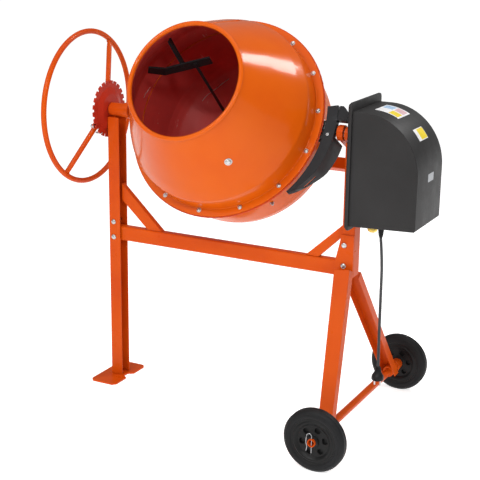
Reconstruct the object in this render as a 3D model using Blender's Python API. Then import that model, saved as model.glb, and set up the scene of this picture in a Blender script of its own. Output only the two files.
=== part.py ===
"""Electric concrete mixer with a tilting drum: tubular stand with a wheeled
axle, geared drum in a tilting yoke, notched hand wheel and belt-drive box.
Metres, +Z up, X along the tilt axis (hand wheel at -X, drive box at +X),
Y front to back (drum mouth toward -Y)."""
import bpy, bmesh, math
from math import sin, cos, pi, radians
from mathutils import Vector, Matrix

for o in list(bpy.data.objects):
    bpy.data.objects.remove(o, do_unlink=True)

# ---------------------------------------------------------------- dimensions
HP = 0.952            # height of the tilt axis
TILT = 29.5           # drum axis above the horizontal at rest, degrees
GAP = 0.0003          # clearance between touching pieces
WALL = 0.0025         # drum sheet
R_FLANGE, H_FLANGE = 0.330, 0.0435     # drum joint flange, height along the drum axis
R_MOUTH, H_MOUTH, R_BEAD = 0.1835, 0.342, 0.0075
R_LOW, H_CYL = 0.300, -0.125
R_BOT, H_BOT = 0.120, -0.252
N_DRUM = 48
N_RING, N_PIN = 90, 9                # gear teeth
R_RING = 0.3205
R_PIN = R_RING * N_PIN / N_RING
ARM_X0, ARM_X1 = 0.3775, 0.3975        # yoke arms
H_CROSS = -0.335                       # yoke cross tube centre
X_WHEELRIM, R_WHEELRIM, R_RIMTUBE = -0.549, 0.2535, 0.0092
SPOKES = (32.3, 214.4)                 # from +Z toward +Y, degrees
X_POST_L, POST_W, POST_D = -0.4346, 0.0428, 0.049
BEAM_Z0, BEAM_Z1, BEAM_Y = 0.501, 0.551, 0.015
X_AXLE, Z_AXLE, R_AXLE = 0.4827, 0.0990, 0.0125
Y_WHEEL, W_WHEEL = 0.3585, 0.040
X_PLATE = 0.4505                       # inner face of the drive box back plate
X_COVER = 0.673                        # outer face of the cover
Z_MOTOR = 0.790
R_PULLEY, R_MPULLEY = 0.070, 0.0117
X_BELT0, X_BELT1 = 0.481, 0.495
X_CORD, Y_CORD, Z_CORD = 0.549, -0.060, 0.7000
PHI = radians(90 - TILT)               # yoke and drum frame about X
T0 = Vector((0, 0, HP))

# ---------------------------------------------------------------- helpers
MATS = {}
def mat(name, rgb, metal=0.0, rough=0.5):
    m = bpy.data.materials.new(name)
    m.use_nodes = True
    b = m.node_tree.nodes["Principled BSDF"]
    b.inputs["Base Color"].default_value = (*rgb, 1)
    b.inputs["Metallic"].default_value = metal
    b.inputs["Roughness"].default_value = rough
    m.diffuse_color = (*rgb, 1)
    return m

LOOK = {"paint": ((0.72, 0.13, 0.02), 0.0, 0.35), "zinc": ((0.72, 0.73, 0.74), 1.0, 0.35),
        "steel": ((0.35, 0.35, 0.36), 1.0, 0.4), "iron": ((0.12, 0.12, 0.12), 0.9, 0.6),
        "black": ((0.035, 0.035, 0.036), 0.0, 0.55), "rubber": ((0.02, 0.02, 0.02), 0.0, 0.8),
        "darkpaint": ((0.03, 0.03, 0.03), 0.0, 0.45), "brass": ((0.62, 0.48, 0.16), 0.9, 0.4),
        "green": ((0.02, 0.35, 0.08), 0.0, 0.4), "red": ((0.6, 0.02, 0.02), 0.0, 0.4),
        "alu": ((0.6, 0.6, 0.61), 1.0, 0.5), "grey": ((0.3, 0.3, 0.31), 0.0, 0.5)}

def make(name, geo, look, loc=(0, 0, 0), rot=(0, 0, 0), angle=35):
    verts, faces = geo
    me = bpy.data.meshes.new(name)
    bm = bmesh.new()
    vs = [bm.verts.new(v) for v in verts]
    for f in faces:
        try:
            bm.faces.new([vs[i] for i in f])
        except ValueError:
            pass
    bmesh.ops.remove_doubles(bm, verts=bm.verts, dist=1e-6)
    bmesh.ops.recalc_face_normals(bm, faces=bm.faces)
    bm.to_mesh(me)
    bm.free()
    ob = bpy.data.objects.new(name, me)
    bpy.context.scene.collection.objects.link(ob)
    ob.location = loc
    ob.rotation_euler = rot
    ob.data.materials.append(mat(name, *LOOK[look]))
    smooth(ob, angle)
    return ob

def smooth(ob, angle=35):
    ob.data.polygons.foreach_set("use_smooth", [True] * len(ob.data.polygons))
    ob.data.set_sharp_from_angle(angle=radians(angle))

def boolean(ob, others, op="DIFFERENCE"):
    for c in others:
        m = ob.modifiers.new("b", "BOOLEAN")
        m.operation = op
        m.solver = "EXACT"
        m.object = c
    bpy.context.view_layer.update()
    dg = bpy.context.evaluated_depsgraph_get()
    me = bpy.data.meshes.new_from_object(ob.evaluated_get(dg))
    ob.modifiers.clear()
    old = ob.data
    ob.data = me
    bpy.data.meshes.remove(old)
    for c in others:
        bpy.data.objects.remove(c, do_unlink=True)
    bm = bmesh.new()
    bm.from_mesh(ob.data)
    bmesh.ops.remove_doubles(bm, verts=bm.verts, dist=1e-5)
    bmesh.ops.dissolve_degenerate(bm, dist=1e-6, edges=bm.edges)
    bm.to_mesh(ob.data)
    bm.free()
    while len(ob.data.materials) > 1:
        ob.data.materials.pop()
    smooth(ob)
    return ob

def box(x0, x1, y0, y1, z0, z1):
    v = [(x, y, z) for x in (x0, x1) for y in (y0, y1) for z in (z0, z1)]
    return v, [(0, 1, 3, 2), (4, 6, 7, 5), (0, 4, 5, 1), (2, 3, 7, 6), (0, 2, 6, 4), (1, 5, 7, 3)]

def cat(*gs):
    V, F = [], []
    for v, f in gs:
        n = len(V)
        V += v
        F += [tuple(i + n for i in q) for q in f]
    return V, F

def prism(poly, a0, a1, axis="y"):
    """closed polygon extruded between a0 and a1 along an axis"""
    def p(u, w, a):
        return {"x": (a, u, w), "y": (u, a, w), "z": (u, w, a)}[axis]
    n = len(poly)
    v = [p(u, w, a0) for u, w in poly] + [p(u, w, a1) for u, w in poly]
    f = [(i, (i + 1) % n, n + (i + 1) % n, n + i) for i in range(n)]
    return v, f + [tuple(range(n)), tuple(range(2 * n - 1, n - 1, -1))]

def ringprism(outer, inner, a0, a1, axis="y"):
    """polygon with a matching polygon hole extruded along an axis"""
    def p(u, w, a):
        return {"x": (a, u, w), "y": (u, a, w), "z": (u, w, a)}[axis]
    n = len(outer)
    v = []
    for a in (a0, a1):
        v += [p(u, w, a) for u, w in outer] + [p(u, w, a) for u, w in inner]
    f = []
    for i in range(n):
        j = (i + 1) % n
        f += [(i, j, 2 * n + j, 2 * n + i), (n + i, n + j, 3 * n + j, 3 * n + i),
              (i, j, n + j, n + i), (2 * n + i, 2 * n + j, 3 * n + j, 3 * n + i)]
    return v, f

def lathe(prof, n, axis="z", a=None):
    """closed profile [(r, h)] turned about an axis; r = 0 makes a pole"""
    def p(r, h, t):
        c, s = r * cos(t), r * sin(t)
        return {"z": (c, s, h), "x": (h, c, s), "y": (s, h, c)}[axis]
    m = len(prof)
    v, f = [], []
    for k in range(n):
        t = 2 * pi * k / n
        v += [p(r, h, t) for r, h in prof]
    for k in range(n):
        l = (k + 1) % n
        for i in range(m):
            j = (i + 1) % m
            q = [k * m + i, k * m + j, l * m + j, l * m + i]
            if prof[i][0] == 0 and prof[j][0] == 0:
                continue
            if prof[i][0] == 0:
                q = [k * m + i, k * m + j, l * m + j]
            elif prof[j][0] == 0:
                q = [k * m + i, k * m + j, l * m + i]
            f.append(tuple(q))
    return v, f

def ring(r0, r1, a0, a1, n=24, axis="x", c=0.0):
    """plain tube with small chamfers c"""
    if c:
        pr = [(r0, a0), (r1 - c, a0), (r1, a0 + c), (r1, a1 - c), (r1 - c, a1), (r0, a1)]
    else:
        pr = [(r0, a0), (r1, a0), (r1, a1), (r0, a1)]
    return lathe(pr, n, axis)

def rod(r, a0, a1, n=16, axis="x", c=0.0):
    if c:
        pr = [(0, a0), (r - c, a0), (r, a0 + c), (r, a1 - c), (r - c, a1), (0, a1)]
    else:
        pr = [(0, a0), (r, a0), (r, a1), (0, a1)]
    return lathe(pr, n, axis)

def moved(geo, d=(0, 0, 0), m=None):
    v, f = geo
    if m is not None:
        v = [tuple(m @ Vector(q)) for q in v]
    return [(q[0] + d[0], q[1] + d[1], q[2] + d[2]) for q in v], f

def sweep(path, sec, ref, closed=False):
    """section [(u, w)] carried along a path; w follows ref as closely as it can"""
    P = [Vector(q) for q in path]
    n, m = len(P), len(sec)
    v, f = [], []
    for i in range(n):
        a = P[(i - 1) % n] if (closed or i > 0) else P[i]
        b = P[(i + 1) % n] if (closed or i < n - 1) else P[i]
        t = (b - a).normalized()
        r = Vector(ref(i, P[i]) if callable(ref) else ref)
        w = (r - t * r.dot(t)).normalized()
        u = t.cross(w)
        k = 1.0
        if 0 < i < n - 1 or closed:
            d1, d2 = (P[i] - a).normalized(), (b - P[i]).normalized()
            k = 1 / max(0.6, math.sqrt(max(0.0, (1 + d1.dot(d2)) / 2)))
            side = (d2 - d1)
            if side.length > 1e-6:
                side.normalize()
        for (su, sw) in sec:
            q = u * su + w * sw
            if k > 1.0001 and side.length > 0.5:
                q = q + side * (q.dot(side) * (k - 1))
            v.append(tuple(P[i] + q))
    for i in range(n if closed else n - 1):
        j = (i + 1) % n
        for s in range(m):
            e = (s + 1) % m
            f.append((i * m + s, i * m + e, j * m + e, j * m + s))
    if not closed:
        f += [tuple(range(m)), tuple((n - 1) * m + s for s in range(m - 1, -1, -1))]
    return v, f

def circ(r, n, a0=0.0):
    return [(r * cos(a0 + 2 * pi * i / n), r * sin(a0 + 2 * pi * i / n)) for i in range(n)]

def rrect(hx, hy, r, n=3, cx=0.0, cy=0.0):
    pts = []
    for sx, sy, a in ((1, 1, 0), (-1, 1, 90), (-1, -1, 180), (1, -1, 270)):
        for i in range(n + 1):
            t = radians(a + 90 * i / n)
            pts.append((cx + sx * (hx - r) + r * cos(t), cy + sy * (hy - r) + r * sin(t)))
    return pts

DR = dict(loc=T0, rot=(PHI, 0, 0))     # yoke and drum pieces are built about the drum axis

# ---------------------------------------------------------------- stand
xo, xi = X_POST_L - POST_W / 2, X_POST_L + POST_W / 2
t = 0.0035
hd = POST_D / 2
chan = [(xo, -hd), (xi, -hd), (xi, -hd + t), (xo + t, -hd + t), (xo + t, hd - t), (xi, hd - t), (xi, hd), (xo, hd)]
left_post = make("left_post", prism(chan, 0.0063, HP - 0.0233, "z"), "paint")
ZB_L = (0.512, 0.566)
ZB_R = (0.540, 0.607)
XB_L, XB_R = -0.438, 0.418
def hole_y(x, z, r=0.0043, y=0.06):
    return make("cut", moved(rod(r, -y, y, 12, "y"), (x, 0, z)), "grey")
boolean(left_post, [hole_y(XB_L, z) for z in ZB_L])

foot = [(-0.4905, -0.0985), (-0.4790, -0.1110), (-0.4010, -0.1110), (-0.3885, -0.0975), (-0.3885, -0.0370), (-0.4065, -0.0250), (-0.4065, 0.0020), (-0.3885, 0.0150),
        (-0.3885, 0.0810), (-0.3985, 0.0930), (-0.4790, 0.0930), (-0.4905, 0.0810)]
make("foot_plate", prism(foot, 0.0, 0.006, "z"), "paint")

make("left_bearing_sleeve", ring(0.0158, 0.0225, -0.4535, -0.4010, 20, "x"), "paint", (0, 0, HP))

bi = 0.0025
zc, hz = (BEAM_Z0 + BEAM_Z1) / 2, (BEAM_Z1 - BEAM_Z0) / 2
beam = make("cross_beam", ringprism(rrect(BEAM_Y, hz, 0.004, 2, 0, zc), rrect(BEAM_Y - bi, hz - bi, 0.002, 2, 0, zc), -0.4500, 0.4075, "x"), "paint")
boolean(beam, [hole_y(XB_L, ZB_L[0])])

def brace(name, x0, z0, x1, z1, x2, z2, x3, z3):
    make(name, prism([(x0, z0), (x1, z1), (x2, z2), (x3, z3)], -0.010, 0.010, "y"), "paint")
ZT = BEAM_Z1 + GAP
brace("left_brace", -0.4125, 0.645, -0.3105, ZT, -0.2545, ZT, -0.4125, 0.7006)
brace("right_brace", 0.2790, ZT, 0.3245, ZT, 0.4075, 0.632, 0.4075, 0.6697)

px0, px1, py = 0.4080, 0.4500, 0.0250
right_post = make("right_post", ringprism(rrect((px1 - px0) / 2, py, 0.004, 2, (px0 + px1) / 2, 0), rrect((px1 - px0) / 2 - 0.003, py - 0.003, 0.002, 2, (px0 + px1) / 2, 0), 0.505, HP - 0.0233, "z"), "paint")
gus = [(0.386, 0.505), (0.450, 0.505), (0.450, 0.640), (0.4085, 0.640), (0.3905, 0.560)]
boolean(right_post, [make("cut", prism(gus, -0.0288, -0.0240, "y"), "paint")], "UNION")
boolean(right_post, [hole_y(XB_R, z) for z in ZB_R])
make("right_bearing_sleeve", ring(0.0188, 0.0225, 0.4010, 0.4500, 20, "x"), "paint", (0, 0, HP))

def carriage_bolt(name, x, z, y0, y1):
    pr = [(0, y0 - 0.0052), (0.004, y0 - 0.0046), (0.0072, y0 - 0.0026), (0.0085, y0 - GAP), (0.0038, y0 - GAP),
          (0.0038, y1 + GAP), (0.0080, y1 + GAP), (0.0080, y1 + 0.006), (0.0038, y1 + 0.006), (0.0038, y1 + 0.010), (0, y1 + 0.010)]
    make(name, lathe(pr, 8, "y"), "zinc", (x, 0, z))
carriage_bolt("left_bolt_lower", XB_L, ZB_L[0], -hd, hd)
carriage_bolt("left_bolt_upper", XB_L, ZB_L[1], -hd, hd)
carriage_bolt("right_bolt_lower", XB_R, ZB_R[0], -0.0288, py)
carriage_bolt("right_bolt_upper", XB_R, ZB_R[1], -0.0288, py)

def leg(name, s):
    """splayed channel leg, open toward the middle; s = -1 near, +1 far"""
    a = Vector((0.4250, -0.0580, 0.536)) if s < 0 else Vector((0.4250, 0.0400, 0.5035))
    b = Vector((0.4827, s * 0.300, 0.0740))
    d, th = 0.030, 0.003
    out = Vector((0, s, 0))
    tdir = (b - a).normalized()
    wv = (out - tdir * out.dot(tdir)).normalized()
    uv = tdir.cross(wv)
    geo = []
    for p, w in ((a, 0.0265), (b, 0.0220)):
        sec = [(-w, 0), (w, 0), (w, -d), (w - th, -d), (w - th, -th), (-w + th, -th), (-w + th, -d), (-w, -d)]
        geo += [tuple(p + uv * u + wv * q) for u, q in sec]
    n = len(sec)
    f = [(i, (i + 1) % n, n + (i + 1) % n, n + i) for i in range(n)] + [tuple(range(n)), tuple(range(2 * n - 1, n - 1, -1))]
    ob = make(name, (geo, f), "paint")
    boolean(ob, [make("cut", moved(rod(R_AXLE + GAP, -0.4, 0.4, 20, "y"), (X_AXLE, 0, Z_AXLE)), "grey"), make("cut", box(0.38, 0.58, -0.4, 0.4, 0.0, 0.0815), "grey")])
    return ob
leg("near_leg", -1)
leg("far_leg", 1)

YI = Y_WHEEL - W_WHEEL / 2 - GAP      # inner side of the wheels, where the stop collars are welded
RC = 0.0185
axp = [(R_AXLE - 0.0025, -0.388), (R_AXLE, -0.388), (R_AXLE, -YI), (RC, -YI), (RC, -YI + 0.010), (R_AXLE, -YI + 0.010),
       (R_AXLE, YI - 0.010), (RC, YI - 0.010), (RC, YI), (R_AXLE, YI), (R_AXLE, 0.388), (R_AXLE - 0.0025, 0.388)]
make("axle_tube", lathe(axp, 16, "y"), "paint", (X_AXLE, 0, Z_AXLE))

# ---------------------------------------------------------------- wheels
def wheel(side, s):
    y = s * Y_WHEEL
    h = W_WHEEL / 2
    R = Z_AXLE
    tyre = [(0.0725, -h + 0.003), (0.080, -h), (0.088, -h + 0.0005), (R - 0.002, -h + 0.005), (R, -h + 0.011), (R, h - 0.011),
            (R - 0.002, h - 0.005), (0.088, h - 0.0005), (0.080, h), (0.0725, h - 0.003)]
    make(side + "_tyre", lathe(tyre, 32, "y"), "rubber", (X_AXLE, y, Z_AXLE))
    b = R_AXLE + GAP
    hub = [(b, -h), (0.022, -h), (0.022, -0.006), (0.062, -0.006), (0.0655, -h + 0.002), (0.0722, -h + 0.002), (0.0722, h - 0.002),
           (0.0655, h - 0.002), (0.062, 0.006), (0.022, 0.006), (0.022, h), (b, h)]
    make(side + "_wheel_hub", lathe(hub, 32, "y"), "black", (X_AXLE, y, Z_AXLE))
    yo = s * (Y_WHEEL + h + 0.0003)
    pth = [(0.0, 0.0212), (0.0, -0.0255)]
    wash = [(b, min(yo, yo + s * 0.0015)), (0.0170, min(yo, yo + s * 0.0015)), (0.0170, max(yo, yo + s * 0.0015)), (b, max(yo, yo + s * 0.0015))]
    make(side + "_axle_washer", lathe(wash, 16, "y"), "zinc", (X_AXLE, 0, Z_AXLE))
    yc = s * 0.3840
    pts = [(X_AXLE + 0.0, 0.0235), (X_AXLE, 0.010), (X_AXLE, -0.010), (X_AXLE, -0.030)]
    line = [(X_AXLE, yc, Z_AXLE + 0.0200), (X_AXLE, yc, Z_AXLE), (X_AXLE, yc, Z_AXLE - 0.0330)]
    out = R_AXLE + 0.0030
    arc = []
    for i in range(9):
        a = radians(90 - 22.5 * i * 0.93)
        arc.append((X_AXLE - out * 0.52 + out * 0.52 * cos(radians(180) * i / 8), yc + s * 0.0, Z_AXLE + 0.0200 + out * 0.52 * sin(radians(180) * i / 8)))
    tail = [(X_AXLE - out * 1.04, yc + s * 0.002, Z_AXLE + 0.015), (X_AXLE - out * 1.10, yc + s * 0.002, Z_AXLE), (X_AXLE - out * 0.90, yc + s * 0.002, Z_AXLE - 0.013), (X_AXLE - out * 1.0, yc + s * 0.003, Z_AXLE - 0.026)]
    path = line[::-1] + arc[1:] + tail
    make(side + "_r_clip", sweep(path, circ(0.0016, 6), (0, 1, 0)), "zinc")
wheel("near", -1)
wheel("far", 1)
ax = bpy.data.objects["axle_tube"]
boolean(ax, [make("cut", moved(rod(0.0020, -0.03, 0.03, 8, "z"), (X_AXLE, s * 0.3840, Z_AXLE)), "grey") for s in (-1, 1)])

# ---------------------------------------------------------------- notched disc, hand wheel
disc_r, disc_n = 0.0955, 24
angs = []
for k in range(disc_n):
    c = 27 + 15 * k
    angs += [(c - 2.9, 1), (c - 2.5, 0), (c + 2.5, 0), (c + 2.9, 1)]
def disc_ring(x, r_fn):
    return [(x, r_fn(k) * cos(radians(a)), r_fn(k) * sin(radians(a))) for a, k in angs]
n = len(angs)
xa, xb = -0.4688, -0.4640
rows = [disc_ring(xa, lambda k: disc_r - (0 if k else 0.0095)),
        disc_ring(xb, lambda k: disc_r - (0 if k else 0.0095)),
        disc_ring(xb, lambda k: 0.072), disc_ring(-0.4568, lambda k: 0.050), disc_ring(-0.4568, lambda k: 0.0158),
        disc_ring(-0.4616, lambda k: 0.0158), disc_ring(-0.4616, lambda k: 0.047), disc_ring(xa, lambda k: 0.069)]
V = [p for r in rows for p in r]
F = []
for i in range(len(rows)):
    j = (i + 1) % len(rows)
    for k in range(n):
        l = (k + 1) % n
        F.append((i * n + k, i * n + l, j * n + l, j * n + k))
make("lock_disc", (V, F), "paint", (0, 0, HP), angle=25)

def wheel_pt(r, a, x):
    return (x, r * sin(radians(a)), r * cos(radians(a)))
rim = make("hand_wheel", sweep([wheel_pt(R_WHEELRIM, 360 * i / 40, X_WHEELRIM) for i in range(40)], circ(R_RIMTUBE, 8), (1, 0, 0), True), "paint", (0, 0, HP))
sp = []
X_HUB0, X_HUB1 = -0.4860, -0.4705
for a in SPOKES:
    p0, p1 = Vector(wheel_pt(0.018, a, -0.4790)), Vector(wheel_pt(R_WHEELRIM, a, X_WHEELRIM))
    sp.append(make("cut", sweep([p0, p1], circ(0.0088, 8), (1, 0, 0)), "paint", (0, 0, HP)))
hubo = make("cut", ring(0.0153, 0.0225, X_HUB0, X_HUB1, 24, "x"), "paint", (0, 0, HP))
boolean(rim, sp + [hubo], "UNION")
boolean(rim, [make("cut", rod(0.0153, -0.52, -0.46, 24, "x"), "paint", (0, 0, HP))])
PIN_A = 237
make("lock_pin", moved(rod(0.0034, -0.4870, -0.4610, 10, "x", 0.0006), (0, 0.0905 * cos(radians(PIN_A)), 0.0905 * sin(radians(PIN_A)))), "steel", (0, 0, HP))
hel = []
turns, ppt = 4, 14
for i in range(turns * ppt + 1):
    a = 2 * pi * i / ppt
    hel.append((-0.5003 + 0.0104 * i / (turns * ppt), 0.0182 * cos(a), 0.0182 * sin(a)))
make("lock_spring", sweep(hel, circ(0.0009, 5), (1, 0, 0)), "steel", (0, 0, HP))
hexo = []
for i in range(24):
    a = 15 * i
    q = 0.0195 / cos(radians((a % 60) - 30))
    hexo.append((q * cos(radians(a)), q * sin(radians(a))))
make("wheel_nut", ringprism(hexo, circ(0.0153, 24), -0.5090, -0.5020, "x"), "zinc", (0, 0, HP))

# ---------------------------------------------------------------- yoke
aw = 0.0200
def arm(name, s):
    x0, x1 = sorted((s * ARM_X0, s * ARM_X1))
    cap = [(-aw, H_CROSS + 0.0203), (aw, H_CROSS + 0.0203), (aw, -0.006)] + [(aw * 1.25 * cos(radians(a)), 0.004 + aw * 1.25 * sin(radians(a))) for a in range(-20, 201, 20)] + [(-aw, -0.006)]
    ob = make(name, prism(cap, x0, x1, "x"), "paint", T0, (PHI, 0, 0))
    return ob
la = arm("yoke_left_arm", -1)
boolean(la, [make("cut", rod(0.0153, -0.42, -0.36, 24, "x"), "grey", T0)])
ra = arm("yoke_right_arm", 1)
boolean(ra, [make("cut", rod(0.0183, 0.36, 0.42, 24, "x"), "grey", T0)])
make("yoke_cross_tube", ringprism(rrect(aw, 0.020, 0.004, 2, 0, H_CROSS), rrect(aw - 0.003, 0.017, 0.002, 2, 0, H_CROSS), -ARM_X1, ARM_X1, "x"), "paint", **DR)
make("left_pivot_shaft", rod(0.0150, -0.5115, -0.3745, 20, "x", 0.001), "steel", T0)
make("right_pivot_tube", ring(0.0130, 0.0180, 0.3770, 0.4520, 20, "x"), "steel", T0)
make("pinion_bush", ring(0.0098, 0.0127, 0.3790, 0.4480, 16, "x"), "brass", T0)
hs = [(0.0205, -0.3143), (0.062, -0.3143), (0.062, -0.3080), (0.044, -0.3050), (0.0400, -0.3000), (0.0380, -0.2720), (0.0205, -0.2720)]
make("drum_bearing_housing", lathe(hs, 24), "iron", **DR)
make("drum_bearing", lathe([(0.0166, -0.3040), (0.0202, -0.3040), (0.0202, -0.2740), (0.0166, -0.2740)], 16), "steel", **DR)

# gear guard: angle-section arc round the toothed ring, with a hood over the pinion
def arc_pts(r, a0, a1, n):
    return [(r * cos(radians(a0 + (a1 - a0) * i / n)), r * sin(radians(a0 + (a1 - a0) * i / n))) for i in range(n + 1)]
G0, G1 = -39.0, 12.0
ri, gt = 0.3395, 0.0020
def along(a, tab):
    """value at angle a from a table of (angle, value)"""
    for (a0, v0), (a1, v1) in zip(tab, tab[1:]):
        if a <= a1:
            return v0 + (v1 - v0) * max(0.0, (a - a0) / (a1 - a0))
    return tab[-1][1]
RIM = [(-39.0, 0.3480), (-35.0, 0.3550), (-28.0, 0.3630), (-20.0, 0.3725), (-6.0, 0.3745), (12.0, 0.3745)]
SKIRT = [(-39.0, 0.0200), (-35.0, 0.0080), (-28.0, -0.0120), (-20.0, -0.0350), (-10.0, -0.0500), (-3.5, -0.0550)]
GA = [G0 + (-3.6 - G0) * i / 14 for i in range(15)] + [-3.2, 1.0, 4.5, 8.0, G1]
ng = len(GA) - 1
Vg, Fg = [], []
for i in range(ng + 1):
    a = GA[i]
    dep = along(a, SKIRT)
    if a > -3.4:
        dep = 0.0130
    c, s_ = cos(radians(a)), sin(radians(a))
    ro = along(a, RIM)
    for r, h in ((ri, 0.0340), (ro, 0.0340), (ro, dep), (ro - gt, dep), (ro - gt, 0.0340 - gt), (ri, 0.0340 - gt)):
        Vg.append((r * c, r * s_, h))
for i in range(ng):
    for k in range(6):
        l = (k + 1) % 6
        Fg.append((i * 6 + k, i * 6 + l, (i + 1) * 6 + l, (i + 1) * 6 + k))
Fg += [tuple(range(6)), tuple(ng * 6 + k for k in range(5, -1, -1))]
guard = make("gear_guard", (Vg, Fg), "black", **DR)
ear = [(0.3728, 0.0290), (0.3728, 0.0765), (0.3850, 0.0765), (0.4050, 0.0560), (0.4050, 0.0290)]
boolean(guard, [make("cut", prism(ear, 0.0120, 0.0335, "z"), "black", **DR)], "UNION")
sl = [-31.0 + 7.0 * i / 4 for i in range(5)]
Vs = [(r * cos(radians(a)), r * sin(radians(a)), h) for a in sl for r, h in ((0.3440, 0.0035), (0.3900, 0.0035), (0.3900, 0.0105), (0.3440, 0.0105))]
Fs = [(i * 4 + k, i * 4 + (k + 1) % 4, (i + 1) * 4 + (k + 1) % 4, (i + 1) * 4 + k) for i in range(4) for k in range(4)] + [(0, 1, 2, 3), (19, 18, 17, 16)]
boolean(guard, [make("cut", (Vs, Fs), "black", **DR)])

# ---------------------------------------------------------------- drum
BC = (R_MOUTH, H_MOUTH)
bead = [(BC[0] + R_BEAD * cos(radians(a)), BC[1] + R_BEAD * sin(radians(a))) for a in range(-60, 220, 45)]
up = [(0.3012, 0.0420), (R_FLANGE, 0.0420), (R_FLANGE, 0.0445), (0.3065, 0.0445), (0.3045, 0.0475), (0.3045, 0.0900), (0.3000, 0.1180), (0.2875, 0.1480),
      (0.2440, 0.2320), (0.1915, 0.3290)] + bead + [(0.1830, 0.3280), (0.2414, 0.2310), (0.2850, 0.1468), (0.2974, 0.1170), (0.3018, 0.0895), (0.3018, 0.0460)]
make("upper_drum", lathe(up, N_DRUM), "paint", angle=30, **DR)
lo = [(R_FLANGE, 0.0417), (R_FLANGE, 0.0392), (0.3050, 0.0392), (R_LOW, 0.0330), (R_LOW, H_CYL), (0.2940, -0.1520), (0.2790, -0.1730),
      (0.1700, -0.2320), (R_BOT, H_BOT), (0.0200, H_BOT), (0.0200, H_BOT + WALL), (R_BOT - 0.001, H_BOT + WALL), (0.1690, -0.2292), (0.2775, -0.1707), (0.2917, -0.1508),
      (R_LOW - WALL, H_CYL), (R_LOW - WALL, 0.0417)]
make("lower_drum", lathe(lo, N_DRUM), "paint", angle=30, **DR)
make("drum_shaft", lathe([(0, -0.3120), (0.0150, -0.3120), (0.0160, -0.3110), (0.0160, -0.2620), (0.0220, -0.2580), (0.0750, -0.2575), (0.0750, H_BOT - GAP), (0, H_BOT - GAP)], 20), "steel", **DR)

# ring gear: flat ring with narrow radial teeth on its underside
zt, zr, zp = 0.0389, 0.0352, 0.0285
r0, r1 = 0.3070, 0.3330
Vr, Fr = [], []
tb, tt = 0.0021, 0.0013                # half widths of a tooth at root and tip
m = 6
for k in range(N_RING):
    a = radians((k + 0.5) * 360 / N_RING)
    for sgn in (-1, 1):
        for r in (r0, r1):
            aa = a + sgn * tb / R_RING
            Vr.append((r * cos(aa), r * sin(aa), zt))
    for sgn in (-1, 1):
        for r in (r0, r1):
            aa = a + sgn * tb / R_RING
            Vr.append((r * cos(aa), r * sin(aa), zr))
    for sgn in (-1, 1):
        for r in (r0 + 0.001, r1 - 0.001):
            aa = a + sgn * tt / R_RING
            Vr.append((r * cos(aa), r * sin(aa), zp))
for k in range(N_RING):
    b, c = k * 12, ((k + 1) % N_RING) * 12
    # 0,1 top minus (in, out); 2,3 top plus; 4,5 root minus; 6,7 root plus; 8,9 tip minus; 10,11 tip plus
    Fr += [(b, b + 1, b + 3, b + 2), (b + 8, b + 10, b + 11, b + 9), (b + 4, b + 8, b + 9, b + 5), (b + 6, b + 7, b + 11, b + 10),
           (b + 4, b + 6, b + 10, b + 8), (b + 5, b + 9, b + 11, b + 7), (b, b + 2, b + 6, b + 4), (b + 1, b + 5, b + 7, b + 3),
           (b + 2, b + 3, c + 1, c), (b + 6, c + 4, c + 5, b + 7), (b + 2, c, c + 4, b + 6), (b + 3, b + 7, c + 5, c + 1)]
make("ring_gear", (Vr, Fr), "iron", angle=30, **DR)

# pinion: teeth point along the drum axis at rest
def pinion_outline():
    pts = []
    rr, rt = R_PIN - 0.0042, R_PIN + 0.0025
    for k in range(N_PIN):
        c = 90 + 360 * k / N_PIN
        hw0, hw1 = math.degrees(0.0022 / rr), math.degrees(0.0012 / rt)
        for r, a in ((rr, c - hw0), (rt, c - hw1), (rt, c + hw1), (rr, c + hw0)):
            pts.append((r * cos(radians(a)), r * sin(radians(a))))
    return pts
po = pinion_outline()
pin = make("pinion", ringprism(po, circ(0.0098, len(po), radians(90 - 360 / N_PIN / 2 * 0.35)), 0.3075, 0.3325, "x"), "iron", angle=30, **DR)
make("pinion_shaft", rod(0.0095, 0.3040, 0.5020, 16, "x", 0.0008), "steel", **DR)
lp = [(0.0098, 0.4790), (0.0200, 0.4790), (0.0200, 0.4860), (0.0600, 0.4860), (0.0620, X_BELT0), (R_PULLEY, X_BELT0), (R_PULLEY, X_BELT1), (0.0620, X_BELT1),
      (0.0600, 0.4900), (0.0200, 0.4900), (0.0200, 0.5000), (0.0098, 0.5000)]
make("large_pulley", lathe(lp, 32, "x"), "alu", **DR)

# mixing paddles: flat bars bolted to the drum wall
def dp(r, a, h):
    return (r * cos(radians(a)), r * sin(radians(a)), h)
def paddle(name, off):
    """cross bar with its foot on the cone, a strut and a stem to the drum bottom, welded"""
    bar = [(-0.0025, -0.020), (0.0025, -0.020), (0.0025, 0.020), (-0.0025, 0.020)]
    P = [dp(0.2350, 161.3 + off, 0.203), dp(0.1975, 154.6 + off, 0.175), dp(0.1724, 139.4 + off, 0.155), dp(0.1563, 107.6 + off, 0.140)]
    ob = make(name, sweep(P, bar, lambda i, p: (p.x * 0.3, p.y * 0.3, 1.0)), "darkpaint", **DR)
    Q = [dp(0.2270, 132.8 + off, 0.2380), dp(0.2016, 134.9 + off, 0.200), dp(0.1745, 137.6 + off, 0.158)]
    st = make("cut", sweep(Q, [(-0.0030, -0.011), (0.0030, -0.011), (0.0030, 0.011), (-0.0030, 0.011)], (0.3, -0.9, 0.2)), "darkpaint", **DR)
    e = 0.0045
    S = [dp(0.1560, 125.4 + off, 0.160), dp(0.1413, 135.0 + off, 0.0), dp(0.1840, 145.5 + off, -0.2050)]
    sm = make("cut", sweep(S, [(-e, -e), (e, -e), (e, e), (-e, e)], lambda i, p: (-p.y, p.x, 0.0)), "darkpaint", **DR)
    boolean(ob, [st, sm], "UNION")
    return ob
paddle("mixing_arm_a", 0)
paddle("mixing_arm_b", 180)

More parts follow.
